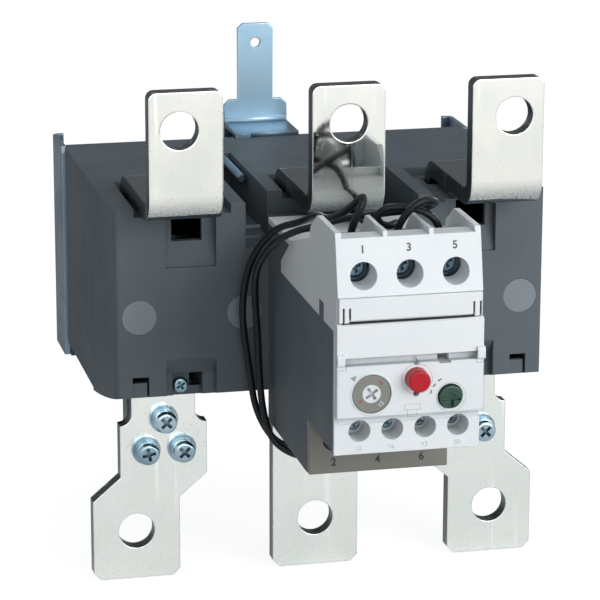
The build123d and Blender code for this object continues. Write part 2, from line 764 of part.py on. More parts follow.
# Relay base: the dark case behind the white covers
deck_underside = rear_deck - relay_wall - seat_gap
wing_back = relay_back - 19.0
wing_top = 17.3
wing_slope = relay_back - 30.5
clip_back, clip_front = behind(20.1), behind(13.9)
clip_height = 18.7
with BuildPart() as relay_base:
    side_sheet([
        (relay_back, deck_underside), (relay_back, relay_bottom), (relay_step_y, relay_bottom),
        (relay_step_y, relay_step_bottom), (relay_front_edge, relay_step_bottom),
        (relay_front_edge, relay_shoulder), (wing_back, relay_shoulder), (wing_back, wing_top),
        (wing_slope, deck_underside)], relay_left, relay_right)
    side_sheet([
        (relay_back - 3.0, deck_underside + 1), (relay_back - 3.0, relay_bottom + relay_wall),
        (relay_step_y + relay_wall, relay_bottom + relay_wall),
        (relay_step_y + relay_wall, relay_step_bottom + relay_wall),
        (relay_front_edge - 1, relay_step_bottom + relay_wall), (relay_front_edge - 1, deck_underside + 1)],
        relay_left + relay_wall, relay_right - relay_wall, mode=Mode.SUBTRACT)
    # Snap hooks that stand in the notches of the upper cover
    for x0 in (relay_left, relay_right - relay_wall):
        block(x0, x0 + relay_wall, clip_front + free_gap, clip_back - free_gap, relay_shoulder - 2, clip_height - free_gap)
    # Shelf that carries the line clamps
    shelf_left, shelf_right = relay_left + relay_wall + 0.2, relay_right - relay_wall - 0.2
    block(shelf_left, shelf_right, behind(9.7), behind(28.2), rear_deck - 3.2, rear_deck - 1)
    block(shelf_left, shelf_right, behind(26.2), behind(28.2), relay_step_bottom + 1, rear_deck - 1)
    for x in (shelf_left, shelf_right - 1.4):
        block(x, x + 1.4, behind(14.6), behind(28.2), relay_step_bottom + 1, rear_deck - 1)
    # Mouth for the load terminal block
    block(relay_left + relay_wall, relay_right - relay_wall, relay_step_y - 1, relay_step_y + relay_wall + 1,
          relay_bottom + relay_wall, relay_step_bottom - 1.0, mode=Mode.SUBTRACT)
    block(relay_left + relay_wall, relay_right - relay_wall, relay_step_y - 1, relay_step_y + 22.0,
          relay_bottom - 1, relay_bottom + relay_wall + 1, mode=Mode.SUBTRACT)
    # Holes for the two screws that hold the relay on the block
    for x in relay_screw_x:
        rod(x, relay_screw_z, 2.0 + running_gap, relay_back - 4, relay_back + 1, mode=Mode.SUBTRACT)
write(relay_base.part, "relay_base")

relay_screws = [pan_screw(x, relay_screw_z, relay_back - 3.0, relay_back + block_wall - 0.2, 2.0, 3.4, 2.6)
                for x in relay_screw_x]
save_group(relay_screws, "relay_fixing_screws")

# Upper terminal cover: white, with fins between the poles
inner_left, inner_right = relay_left + relay_wall, relay_right - relay_wall
with BuildPart() as terminal_cover:
    side_sheet([
        (relay_back, rear_deck), (relay_back, rear_deck - relay_wall), (wing_slope - 0.4, rear_deck - relay_wall),
        (wing_back - seat_gap, wing_top - seat_gap), (wing_back - seat_gap, relay_shoulder + seat_gap),
        (clip_back, relay_shoulder + seat_gap), (clip_back, clip_height), (clip_front, clip_height),
        (clip_front, relay_shoulder + seat_gap), (relay_front_edge, relay_shoulder + seat_gap),
        (relay_front_edge, lid_top + seat_gap), (relay_front_edge - 2.2, lid_top + seat_gap),
        (relay_front_edge - 2.2, cover_seam - 0.2),
        (cover_seam_front, cover_seam - 0.2),
        (cover_seam_front, cover_seam), (cover_top_front, cover_top), (cover_top_front + 0.6, fin_top),
        (behind(23.2), fin_top), (behind(31.7), 38.5), (behind(33.2), 34.6), (relay_back - 33.0, rear_deck)],
        relay_left, relay_right)
    # The hollow under the deck and behind the front wall
    side_sheet([
        (relay_back + 1, deck_underside), (relay_back + 1, relay_shoulder - 1),
        (relay_front_edge + 1.8, relay_shoulder - 1), (relay_front_edge + 1.8, 26.0),
        (slot_front, 26.0), (slot_front, fin_top + 1), (behind(33.2), fin_top + 1), (behind(33.2), 34.7),
        (behind(31.2), 34.7), (behind(31.2), 33.0), (relay_back - 33.0, deck_underside)],
        inner_left, inner_right, mode=Mode.SUBTRACT)
    # Front ledge stays at its height, the fins stand above it
    for n in (-1, 0, 1):
        x0 = max(inner_left, pole_x[n + 1] - pole_pitch / 2 + fin_thickness / 2)
        x1 = min(inner_right, pole_x[n + 1] + pole_pitch / 2 - fin_thickness / 2)
        block(x0, x1, cover_top_front - 1, behind(34.2), cover_top, fin_top + 1, mode=Mode.SUBTRACT)
        # Back wall of each wire slot
        block(x0, x1, behind(27.2), behind(28.4), 33.0, 37.2)
        block(x0, x1, behind(28.2), behind(31.2), 33.0, 34.6)
    for x in (pole_x[0] + pole_pitch / 2, pole_x[1] + pole_pitch / 2):
        side_sheet([(slot_front - 1, 36.2), (slot_front - 1, fin_top - 0.2), (behind(21.2), fin_top - 0.2),
                    (behind(27.7), 37.0), (behind(27.7), 36.2)], x - fin_thickness / 2, x + fin_thickness / 2)
        block(x - 0.7, x + 0.7, cover_top_front + 1, slot_front, 26, cover_top)
    # Screwdriver wells
    for x in pole_x:
        rod(x, line_well_height, line_well_radius, behind(-10.8), slot_front + 0.5, mode=Mode.SUBTRACT)
write(terminal_cover.part, "terminal_cover")

# Strip under the upper cover, slit at both ends
strip_front = cover_seam_front - 0.8
with BuildPart() as marking_strip:
    block(relay_left + 0.3, relay_right - 0.3, strip_front, strip_front + strip_thickness,
          strip_bottom, cover_seam - 0.35)
    chamfer(marking_strip.edges().filter_by(Axis.X).group_by(Axis.Y)[0], 0.3)
    slits = [relay_left + d for d in strip_slit_left] + [relay_right - d for d in strip_slit_right]
    for x in slits:
        block(x - strip_slit / 2, x + strip_slit / 2, strip_front - 1, strip_front + strip_thickness + 1,
              strip_bottom - 1, strip_slit_top, mode=Mode.SUBTRACT)
    block(slits[1], slits[2], strip_front - 1, strip_front + strip_thickness + 1, strip_bottom - 1,
          strip_gap_top, mode=Mode.SUBTRACT)
write(marking_strip.part, "marking_strip")

# Lower cover with the controls
lid_left, lid_right = relay_centre - lid_width / 2, relay_centre + lid_width / 2
lid_back = relay_front_edge
wall_back = lid_face + lid_wall
sleeve_front = lid_foot_face + 0.7
hinge_low, hinge_high = hinge_height - hinge_recess_half, hinge_height + hinge_recess_half
ear_left, ear_right = lid_left - 0.1, lid_right + 0.3
with BuildPart() as front_cover:
    side_sheet([
        (lid_back, lid_bottom), (lid_foot_face, lid_bottom), (lid_foot_face, lid_foot_top),
        (lid_face, lid_foot_top), (lid_face, hinge_low), (hinge_recess_floor, hinge_low),
        (hinge_recess_floor, hinge_high), (lid_face, hinge_high), (lid_face, lid_top - 0.8),
        (lid_face + 0.8, lid_top), (lid_back, lid_top)], lid_left, lid_right)
    for z0, z1 in ((lid_foot_top + 1.6, hinge_low - 1.6), (hinge_high + 1.6, lid_top - 1.6)):
        block(lid_left + 1.6, lid_right - 1.6, wall_back, lid_back + 1, z0, z1, mode=Mode.SUBTRACT)
    # Hinge ears close the recess at both ends
    for x0 in (ear_left, ear_right - hinge_ear):
        with BuildPart(mode=Mode.PRIVATE) as ear:
            block(x0, x0 + hinge_ear, hinge_ear_front, hinge_recess_floor + 0.5, hinge_low, hinge_ear_top)
            fillet(ear.edges().filter_by(Axis.X).group_by(Axis.Y)[0], hinge_ear_round)
        add(ear.part)
        with Locations(Location((x0 + hinge_ear / 2, hinge_axis_y, hinge_height), (0, 90, 0))):
            Cylinder(hinge_pin_radius + running_gap, hinge_ear, mode=Mode.SUBTRACT)
    # Inner block with the auxiliary terminals
    block(inner_left + free_gap, inner_right - free_gap, lid_back, behind(9.2),
          relay_step_bottom + relay_wall + free_gap, aux_well_height + 6.0)
    for x in aux_x:
        rod(x, aux_well_height, aux_well_radius, behind(-2.8), behind(7.8), mode=Mode.SUBTRACT)
        rod(x, aux_well_height, 1.5 + running_gap, behind(7.2), behind(10.2), mode=Mode.SUBTRACT)
        block(x - 3.3, x - 2.2, behind(7.0), behind(10.2), aux_well_height - 0.8, aux_well_height + 0.1,
              mode=Mode.SUBTRACT)
    # Seats and holes of the controls
    rod(dial_x, dial_z, dial_stem_radius + 1.8, wall_back, behind(5.2))
    rod(dial_x, dial_z, dial_radius + 0.2, lid_face - 1, lid_face + dial_thickness + 0.15, mode=Mode.SUBTRACT)
    rod(dial_x, dial_z, dial_stem_radius + running_gap, lid_face, behind(6.2), mode=Mode.SUBTRACT)
    rod(stop_x, stop_z, stop_radius + running_gap, lid_face - 1, lid_back + 1, mode=Mode.SUBTRACT)
    for dz in (stop_notch, -stop_notch):
        rod(stop_x, stop_z + dz, 0.9, lid_face - 1, wall_back + 1, mode=Mode.SUBTRACT)
    rod(reset_x, reset_z, sleeve_radius + 1.2, lid_foot_face, behind(3.7))
    rod(reset_x, reset_z, sleeve_radius + running_gap, sleeve_front - 0.1, behind(6.2), mode=Mode.SUBTRACT)
    rod(reset_x, reset_z, reset_radius + 0.35, lid_face - 1, sleeve_front, mode=Mode.SUBTRACT)
    block(flag_x - flag_window_width / 2, flag_x + flag_window_width / 2, lid_face - 1, lid_back + 1,
          flag_window_z - flag_window_height / 2, flag_window_z + flag_window_height / 2, mode=Mode.SUBTRACT)
write(front_cover.part, "front_cover")

# Clear flap over the controls, hinged along its top edge
flap_left, flap_right = relay_centre - flap_width / 2, relay_centre + flap_width / 2
flap_back = flap_front + flap_thickness
barrel_left, barrel_right = ear_left + hinge_ear + free_gap, ear_right - hinge_ear - free_gap
with BuildPart() as flap:
    with Locations(Location(((barrel_left + barrel_right) / 2, hinge_axis_y, hinge_height), (0, 90, 0))):
        Cylinder(hinge_radius, barrel_right - barrel_left)
    side_sheet([
        (hinge_axis_y - hinge_radius + 0.1, hinge_height + 0.1), (flap_front + 0.5, flap_top),
        (flap_front, flap_top - 0.5), (flap_front, flap_shoulder), (flap_back, flap_shoulder),
        (flap_back, hinge_low + 0.2), (hinge_axis_y - 0.4, hinge_height - hinge_radius + 0.15)],
        barrel_left, barrel_right)
    block(flap_left, flap_right, flap_front, flap_back, flap_bottom, flap_shoulder)
    block(flap_left, flap_right, flap_front, lid_foot_face - 0.8, flap_bottom - flap_lip, flap_bottom)
    for x, direction in ((barrel_left, -1), (barrel_right, 1)):
        with Locations(Location((x + direction * (hinge_ear + free_gap) / 2 * 0.9, hinge_axis_y, hinge_height), (0, 90, 0))):
            Cylinder(hinge_pin_radius, (hinge_ear + free_gap) * 0.9)
    rod(stop_x, stop_z, stop_radius + 1.3, flap_front - 1, flap_back + 0.2, mode=Mode.SUBTRACT)
    rod(reset_x, reset_z, reset_radius + 0.9, flap_front - 1, flap_back + 0.2, mode=Mode.SUBTRACT)
    # Latch tab: a broad grip over a narrow stem
    block(latch_x - latch_width / 2, latch_x + latch_width / 2, flap_front - 0.9, flap_front, latch_middle, latch_top)
    grip = flap.edges().filter_by(Axis.X).filter_by(
        lambda e: abs(e.center().Y - flap_front + 0.9) < 0.01 and abs(e.center().Z - latch_top) < 0.01)
    fillet(grip, 0.6)
    block(latch_x - latch_stem_width / 2, latch_x + latch_stem_width / 2, flap_front - 0.4, flap_front,
          flap_bottom, latch_middle)
write(flap.part, "clear_flap")

# Current dial: a ring on a slotted spindle with an eccentric end
with BuildPart() as dial_ring:
    rod(dial_x, dial_z, dial_radius, lid_face + 0.05, lid_face + dial_thickness)
    chamfer(dial_ring.edges().filter_by(GeomType.CIRCLE).group_by(Axis.Y)[0], 0.25)
    rod(dial_x, dial_z, dial_head_radius + 0.05, lid_face - 1, lid_face + dial_thickness + 1, mode=Mode.SUBTRACT)
write(dial_ring.part, "dial_ring")
with BuildPart() as dial_spindle:
    rod(dial_x, dial_z, dial_head_radius, lid_face + 0.05, lid_face + dial_thickness)
    rod(dial_x, dial_z, dial_stem_radius, lid_face + dial_thickness, behind(6.6))
    rod(dial_x + cam_offset, dial_z, dial_stem_radius + cam_offset + 0.4, behind(6.6), behind(8.2))
    with BuildSketch(Plane(origin=(dial_x, lid_face + 0.05, dial_z), x_dir=(1, 0, 0), z_dir=(0, -1, 0))):
        for angle in (35.0, 125.0):
            Rectangle(dial_head_radius * 1.5, 0.9, rotation=angle)
    extrude(amount=-1.1, mode=Mode.SUBTRACT)
write(dial_spindle.part, "dial_spindle")

# Stop button and its return spring
frame_front = behind(8.6)
collar_front = wall_back + 0.2
with BuildPart() as stop_button:
    rod(stop_x, stop_z, stop_radius, stop_front, collar_front + 1.4)
    fillet(stop_button.edges().filter_by(GeomType.CIRCLE).group_by(Axis.Y)[0], 0.6)
    rod(stop_x, stop_z, 5.4, collar_front, collar_front + 1.4)
    block(stop_x - 6, stop_x + 6, collar_front - 0.01, collar_front + 1.5, hinge_low - 1.9, hinge_height,
          mode=Mode.SUBTRACT)
    rod(stop_x, stop_z, stop_radius - 0.4, collar_front, collar_front + 1.4)
    rod(stop_x, stop_z, 1.4, collar_front + 1.4, frame_front - stop_travel - free_gap)
write(stop_button.part, "stop_button")


def coil_spring(x, z, radius, wire, y0, y1, turns):
    """A compression spring along Y whose ends rest on two faces."""
    with BuildPart() as spring:
        length = y1 - y0 - wire
        start = y0 + wire / 2
        with BuildLine():
            Helix(pitch=length / turns, height=length, radius=radius, center=(x, start, z), direction=(0, 1, 0))
        path = spring.pending_edges[0]
        with BuildSketch(Plane(origin=path @ 0, z_dir=path % 0)):
            Circle(wire / 2)
        sweep()
    return spring.part


write(coil_spring(stop_x, stop_z, 2.4, 0.5, collar_front + 1.45, frame_front - 0.05, 4), "stop_spring")

# Reset button in its turning sleeve
with BuildPart() as reset_sleeve:
    rod(reset_x, reset_z, sleeve_radius, sleeve_front, behind(5.8))
    rod(reset_x, reset_z, reset_radius + running_gap, wall_back, behind(6.2), mode=Mode.SUBTRACT)
    block(reset_x - 0.8, reset_x + 0.8, wall_back, behind(6.2), reset_z, reset_z + sleeve_radius + 1, mode=Mode.SUBTRACT)
write(reset_sleeve.part, "reset_sleeve")
with BuildPart() as reset_button:
    rod(reset_x, reset_z, reset_radius, reset_front, behind(4.6))
    fillet(reset_button.edges().filter_by(GeomType.CIRCLE).group_by(Axis.Y)[0], 0.5)
    block(reset_x - 0.6, reset_x + 0.6, sleeve_front + 0.3, behind(4.6), reset_z + reset_radius - 0.5,
          reset_z + sleeve_radius - 0.5)
    with BuildSketch(Plane(origin=(reset_x, reset_front, reset_z), x_dir=(1, 0, 0), z_dir=(0, -1, 0))):
        with BuildLine():
            Polyline((0, 1.7), (2.0, -0.3), (2.9, -0.3), (2.9, -1.1), (0.7, -1.1), (0.7, -3.9), (-0.7, -3.9),
                     (-0.7, -1.1), (-2.9, -1.1), (-2.9, -0.3), (-2.0, -0.3), close=True)
        make_face()
    extrude(amount=-1.3, mode=Mode.SUBTRACT)
    rod(reset_x, reset_z, 1.2, behind(4.6), frame_front - reset_travel - free_gap)
write(reset_button.part, "reset_button")
write(coil_spring(reset_x, reset_z, 2.2, 0.5, behind(4.65), frame_front - 0.05, 3), "reset_spring")

# Inner frame that backs the controls and carries the trip lever
frame_back = frame_front + 1.8
lever_x, lever_z = relay_centre + 16.6, -2.0
with BuildPart() as mechanism_frame:
    block(inner_left + free_gap, inner_right - free_gap, frame_front, frame_back, -11.6, relay_shoulder - 2.4)
    rod(lever_x, lever_z, 1.2, frame_back, frame_back + 5.0)
    for x in (-12.0, 5.0):
        block(x, x + 2.0, frame_back, frame_back + 5.9, 4.8, 7.2)
    block(flag_x - 2.2, flag_x + 2.2, frame_front - 1, frame_back + 1, -3.0, relay_shoulder, mode=Mode.SUBTRACT)
write(mechanism_frame.part, "mechanism_frame")

# Trip mechanism: slide pushed by the bimetals, rocking lever, flag
slide_y = frame_back + 1.0
with BuildPart() as trip_slider:
    block(relay_centre - 18.3, relay_centre + 17.1, slide_y + 5.0, slide_y + 7.0, 4.8, 7.2)
    for x in pole_x:
        block(x + 1.2, x + 2.6, slide_y + 7.0, slide_y + 12.0, 4.8, 7.2)
    block(lever_x - 2.2, lever_x - 1.2, slide_y + 0.4, slide_y + 7.0, 4.8, 7.2)
write(trip_slider.part, "trip_slider")
with BuildPart() as trip_lever:
    rod(lever_x, lever_z, 2.2, slide_y, slide_y + 2.6)
    block(lever_x - 0.9, lever_x + 0.9, slide_y, slide_y + 2.6, lever_z, 7.4)
    block(flag_x - 1.0, lever_x, slide_y, slide_y + 2.6, lever_z - 0.8, lever_z + 0.8)
    rod(lever_x, lever_z, 1.2 + running_gap, slide_y - 1, slide_y + 4, mode=Mode.SUBTRACT)
write(trip_lever.part, "trip_lever")
with BuildPart() as trip_flag:
    block(flag_x - 1.5, flag_x + 1.5, lid_back + 0.3, lid_back + 1.5, 0.2, 2.9)
    block(flag_x - 1.5, flag_x + 1.5, lid_back + 0.3, slide_y + 2.6, -0.9, 0.2)
write(trip_flag.part, "trip_flag")

# Heated bimetal strips that push the slider
strips, heaters = [], []
for x in pole_x:
    with BuildPart() as strip:
        block(x - 0.4, x + 0.4, slide_y + 8.5, slide_y + 12.5, relay_step_bottom + relay_wall, 8.6)
    strips.append(strip.part)
    with BuildPart() as heater:
        block(x - 1.9, x + 1.9, slide_y + 7.0, slide_y + 14.0, -20.0, -4.0)
        fillet(heater.edges().filter_by(Axis.Z), 1.2)
        block(x - 0.45, x + 0.45, slide_y + 8.45, slide_y + 12.55, -20.0, -4.0, mode=Mode.SUBTRACT)
    heaters.append(heater.part)
save_group(strips, "bimetal_strips")
save_group(heaters, "heater_coils")

# Line terminals: cage clamps on the shelf, with their screws
clamps, clamp_screws = [], []
clamp_floor = rear_deck - 1 + seat_gap
clamp_top = clamp_floor + 8.4
for x in pole_x:
    with BuildPart() as clamp:
        block(x - 4.2, x + 4.2, behind(10.4), behind(18.4), clamp_floor, clamp_top)
        block(x - 3.2, x + 3.2, behind(11.6), behind(17.4), clamp_floor + 1, clamp_top - 1, mode=Mode.SUBTRACT)
        rod(x, line_well_height, 1.6 + running_gap, behind(10.2), behind(12.2), mode=Mode.SUBTRACT)
    clamps.append(clamp.part)
    clamp_screws.append(pan_screw(x, line_well_height, behind(10.4), behind(13.7), 1.6, 3.3, 2.2, 20.0))
save_group(clamps, "line_clamps")
save_group(clamp_screws, "line_terminal_screws")

# Auxiliary terminals in the foot of the lower cover
aux_clamps, aux_screws = [], []
for n, x in enumerate(aux_x):
    with BuildPart() as clamp:
        block(x - 3.6, x + 3.6, behind(9.3), behind(10.5), aux_well_height - 3.4, aux_well_height + 3.4)
        block(x - 3.6, x + 3.6, behind(10.5), behind(14.3), aux_well_height - 3.4, aux_well_height - 2.4)
        block(x - 3.2, x - 2.3, behind(1.8), behind(9.3), aux_well_height - 0.7, aux_well_height)
        rod(x, aux_well_height, 1.5 + running_gap, behind(8.2), behind(11.2), mode=Mode.SUBTRACT)
    aux_clamps.append(clamp.part)
    aux_screws.append(pan_screw(x, aux_well_height, behind(7.8), behind(12.7), 1.5, 2.1, 1.9, 15.0 + 25.0 * n))
save_group(aux_clamps, "auxiliary_clamps")
save_group(aux_screws, "auxiliary_screws")

# Load terminal block, grey, in the mouth under the relay
with BuildPart() as load_block:
    block(relay_left + 0.1, relay_right - 0.1, load_front, relay_step_y - seat_gap, load_bottom, relay_step_bottom - seat_gap)
    block(inner_left + free_gap, inner_right - free_gap, relay_step_y - seat_gap, relay_step_y + 20.0,
          load_bottom, relay_step_bottom - 1.4)
    chamfer(load_block.edges().filter_by(Axis.X).group_by(Axis.Y)[0], 0.4)
    for x in pole_x:
        rod(x, load_well_height, load_well_radius, load_front - 1, load_front + 9.0, mode=Mode.SUBTRACT)
        block(x - 4.6, x + 4.6, load_front + 9.0, load_front + 18.0, load_bottom + 2, relay_step_bottom, mode=Mode.SUBTRACT)
        block(x - 2.6, x + 2.6, load_front + 11.0, load_front + 16.0, load_bottom - 1, load_bottom + 3, mode=Mode.SUBTRACT)
write(load_block.part, "load_terminal_block")
load_clamps, load_screws = [], []
for x in pole_x:
    with BuildPart() as clamp:
        block(x - 4.4, x + 4.4, load_front + 9.3, load_front + 17.6, load_bottom + 2.1, relay_step_bottom - 2.0)
        block(x - 3.4, x + 3.4, load_front + 10.5, load_front + 16.6, load_bottom + 1, relay_step_bottom - 3.2, mode=Mode.SUBTRACT)
        rod(x, load_well_height, 1.6 + running_gap, load_front + 9, load_front + 11, mode=Mode.SUBTRACT)
    load_clamps.append(clamp.part)
    load_screws.append(pan_screw(x, load_well_height, load_front + 9.3, load_front + 13.0, 1.6, 3.3, 2.2, 40.0))
save_group(load_clamps, "load_clamps")
save_group(load_screws, "load_terminal_screws")

# Rubber grommets where two leads enter the block's floor
grommets = []
grommet_bottom = block_bottom(lead_floor_y) - 1.6
for x in lead_floor_x:
    with BuildPart() as grommet:
        with Locations((x, lead_floor_y, (grommet_bottom + block_bottom(lead_floor_y) + 2.0) / 2)):
            Cylinder(2.3, block_bottom(lead_floor_y) + 2.0 - grommet_bottom)
    grommets.append(grommet.part)
save_group(grommets, "lead_grommets")

# Leads from the line terminals to the transformers, routed as in the photograph
lead_start_z = clamp_top
lead_routes = {
    "lead_left": [
        (pole_x[0], -199.8, lead_start_z), (pole_x[0], -199.8, 39.6), (-12.2, -201.8, 45.4),
        (-10.0, -202.4, 50.2), (-9.2, -198.6, 51.4), (-11.0, -194.6, 47.6), (-14.0, -190.0, 43.6), (-16.4, -182.0, 40.2),
        (-16.6, -170.0, 39.0), (-15.9, -159.5, 35.6), (-18.6, -151.0, 31.8), (-23.6, -145.5, 29.4),
        (-26.6, -138.0, 23.6), (-29.0, -131.0, 16.0), (-31.0, -129.0, 8.0), (-31.9, -128.6, -1.0),
        (-31.4, -128.6, -10.0), (-30.0, -128.4, -19.0), (-28.9, -128.4, -27.5), (-27.7, -128.4, -35.0),
        (-25.2, -129.0, -41.6), (-21.3, -129.2, -47.4), (-16.0, -127.0, -50.8), (-11.8, -121.8, -49.8),
        (-9.7, -116.0, -45.6), (-9.5, lead_floor_y, -40.8), (-9.5, lead_floor_y, grommet_bottom)],
    "lead_middle": [
        (pole_x[1], -199.8, lead_start_z), (pole_x[1], -199.8, 39.6), (3.0, -202.2, 45.6),
        (7.2, -203.0, 49.6), (12.0, -201.0, 49.4), (14.6, -195.5, 47.0), (12.6, -190.0, 44.0),
        (6.0, -184.4, 42.2), (-2.0, -178.4, 40.0), (-9.5, -171.0, 37.4), (-15.6, -164.0, 33.6),
        (-21.0, -160.5, 31.8), (-25.6, -156.0, 28.2), (-28.0, -148.0, 22.4), (-29.2, -140.0, 15.6),
        (-28.9, -134.0, 8.0), (-28.0, -131.6, -1.0), (-27.3, -131.2, -10.0), (-27.0, -131.2, -19.0),
        (-26.6, -131.4, -27.0), (-25.9, -131.8, -34.5), (-24.6, -132.0, -41.0), (-22.4, -132.8, -46.6),
        (-17.8, -133.4, -50.4), (-12.6, -131.0, -53.2), (-8.0, -125.6, -52.4), (-5.2, -119.0, -49.0),
        (-5.0, lead_floor_y, -43.6), (-5.0, lead_floor_y, grommet_bottom)],
    "lead_right": [
        (pole_x[2], -199.8, lead_start_z), (pole_x[2], -199.8, 39.0), (12.6, -200.4, 43.8),
        (8.2, -199.2, 46.2), (3.2, -197.4, 46.8), (-1.2, -196.4, 46.6), (-4.1, -195.0, 44.2),
        (-2.6, -193.6, 40.8), (1.6, -190.6, 39.2), (5.0, -185.0, 38.8), (6.4, -178.0, 37.0),
        (6.0, -168.0, 33.0), (5.2, -156.0, 30.2), (5.0, -145.0, lead_wall_z + 0.2),
        (lead_wall_x, -133.0, lead_wall_z), (lead_wall_x + 0.1, -120.0, lead_wall_z - 0.1),
        (lead_wall_x, block_front + middle_recess_depth - 0.1, lead_wall_z)],
}


def bend_radii(points):
    """Radius of each corner: 0.45 of the shorter run over the tangent of half the turn."""
    radii = []
    for before, corner, after in zip(points, points[1:], points[2:]):
        first, second = Vector(*corner) - Vector(*before), Vector(*after) - Vector(*corner)
        turn = first.get_angle(second)
        radii.append(0.45 * min(first.length, second.length) / tan(radians(turn / 2)))
    return radii


for name, points in lead_routes.items():
    radii = bend_radii(points)
    runs = [(Vector(*b) - Vector(*a)).length for a, b in zip(points, points[1:])]
    with BuildPart() as lead:
        with BuildLine() as path:
            FilletPolyline(*points, radius=radii)
        with BuildSketch(Plane(origin=points[0], z_dir=Vector(*points[1]) - Vector(*points[0]))):
            Circle(lead_radius)
        sweep()
    length = sum(edge.length for edge in path.edges())
    print(name, "length", round(length, 1), "volume share",
          round(lead.part.volume / (pi * lead_radius**2 * length), 4),
          "smallest radius", round(min(radii), 2), "runs", round(min(runs), 1), round(max(runs), 1))
    print("   radii", [round(r, 1) for r in radii])
    print("   run ratios", round(max(max(a / b, b / a) for a, b in zip(runs, runs[1:])), 2))
    write(lead.part, name)
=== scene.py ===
"""Looks of a three-pole thermal overload relay with a transformer block.

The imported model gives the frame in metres: X to the right, Y to the back, Z up.
Every class below dresses one sub-assembly or makes one finish.
"""
import json
import logging
import math
from dataclasses import dataclass, field
from enum import Enum

import bmesh
import bpy
from mathutils import Matrix, Vector

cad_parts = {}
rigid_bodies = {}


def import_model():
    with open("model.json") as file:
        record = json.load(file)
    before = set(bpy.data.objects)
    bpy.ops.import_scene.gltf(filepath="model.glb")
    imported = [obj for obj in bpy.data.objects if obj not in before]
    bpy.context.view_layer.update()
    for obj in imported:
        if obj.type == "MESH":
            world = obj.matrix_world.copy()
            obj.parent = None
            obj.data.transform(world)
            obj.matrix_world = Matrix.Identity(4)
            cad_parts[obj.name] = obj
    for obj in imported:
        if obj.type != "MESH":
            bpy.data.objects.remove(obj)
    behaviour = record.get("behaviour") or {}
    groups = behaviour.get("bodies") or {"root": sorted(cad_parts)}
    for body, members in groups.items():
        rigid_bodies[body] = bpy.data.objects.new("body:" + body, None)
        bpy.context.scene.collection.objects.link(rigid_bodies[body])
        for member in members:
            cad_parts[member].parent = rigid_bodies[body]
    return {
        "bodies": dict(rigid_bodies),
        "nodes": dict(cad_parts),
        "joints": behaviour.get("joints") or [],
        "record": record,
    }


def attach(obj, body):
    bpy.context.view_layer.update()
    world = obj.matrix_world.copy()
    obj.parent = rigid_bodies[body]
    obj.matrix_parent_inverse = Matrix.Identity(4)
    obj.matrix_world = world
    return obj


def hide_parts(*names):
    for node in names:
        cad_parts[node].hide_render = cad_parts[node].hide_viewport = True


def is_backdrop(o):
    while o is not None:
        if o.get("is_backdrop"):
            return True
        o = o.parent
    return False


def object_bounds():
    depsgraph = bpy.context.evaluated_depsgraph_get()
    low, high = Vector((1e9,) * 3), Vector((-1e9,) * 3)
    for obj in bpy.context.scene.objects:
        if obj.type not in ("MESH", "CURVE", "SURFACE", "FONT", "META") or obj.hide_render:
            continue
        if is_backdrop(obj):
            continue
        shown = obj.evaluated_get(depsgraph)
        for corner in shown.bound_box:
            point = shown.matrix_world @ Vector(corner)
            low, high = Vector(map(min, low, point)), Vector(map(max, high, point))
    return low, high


LOG = logging.getLogger("overload_relay")
MM = 0.001
WAVE_PER_PITCH = 0.314  # a wave texture of scale 1 repeats about every 0.314 m
Colour = tuple[float, float, float]
Point = tuple[float, float, float]
Profile = tuple[tuple[float, float], ...]


def srgb(red: int, green: int, blue: int) -> Colour:
    """Turn an 8-bit display colour into linear values.

    Args:
        red: Red from 0 to 255.
        green: Green from 0 to 255.
        blue: Blue from 0 to 255.

    Returns:
        The colour as three linear floats.
    """
    def linear(value: int) -> float:
        """Undo the display curve of one channel."""
        share = value / 255
        return share / 12.92 if share <= 0.04045 else ((share + 0.055) / 1.055) ** 2.4

    return linear(red), linear(green), linear(blue)


def mm(*values: float) -> Point:
    """Turn millimetres into a point in metres."""
    return tuple(value * MM for value in values)


def add_piece(name: str, mesh: bpy.types.Mesh) -> bpy.types.Object:
    """Put a mesh in the scene.

    Args:
        name: The new object's name.
        mesh: Its mesh.

    Returns:
        The new object.
    """
    piece = bpy.data.objects.new(name, mesh)
    bpy.context.scene.collection.objects.link(piece)
    return piece


def finish_mesh(name: str, build: bmesh.types.BMesh) -> bpy.types.Mesh:
    """Close a mesh that was being built, with all its faces outward.

    Args:
        name: The mesh's name.
        build: The mesh being built, which is freed.

    Returns:
        The finished mesh.
    """
    bmesh.ops.recalc_face_normals(build, faces=build.faces)
    mesh = bpy.data.meshes.new(name)
    build.to_mesh(mesh)
    build.free()
    return mesh


class Grain(Enum):
    """Direction that a metal's fine lines run in."""

    ALONG_X = (0.04, 1.0, 1.0)
    ALONG_Y = (1.0, 0.04, 1.0)
    ALONG_Z = (1.0, 1.0, 0.04)


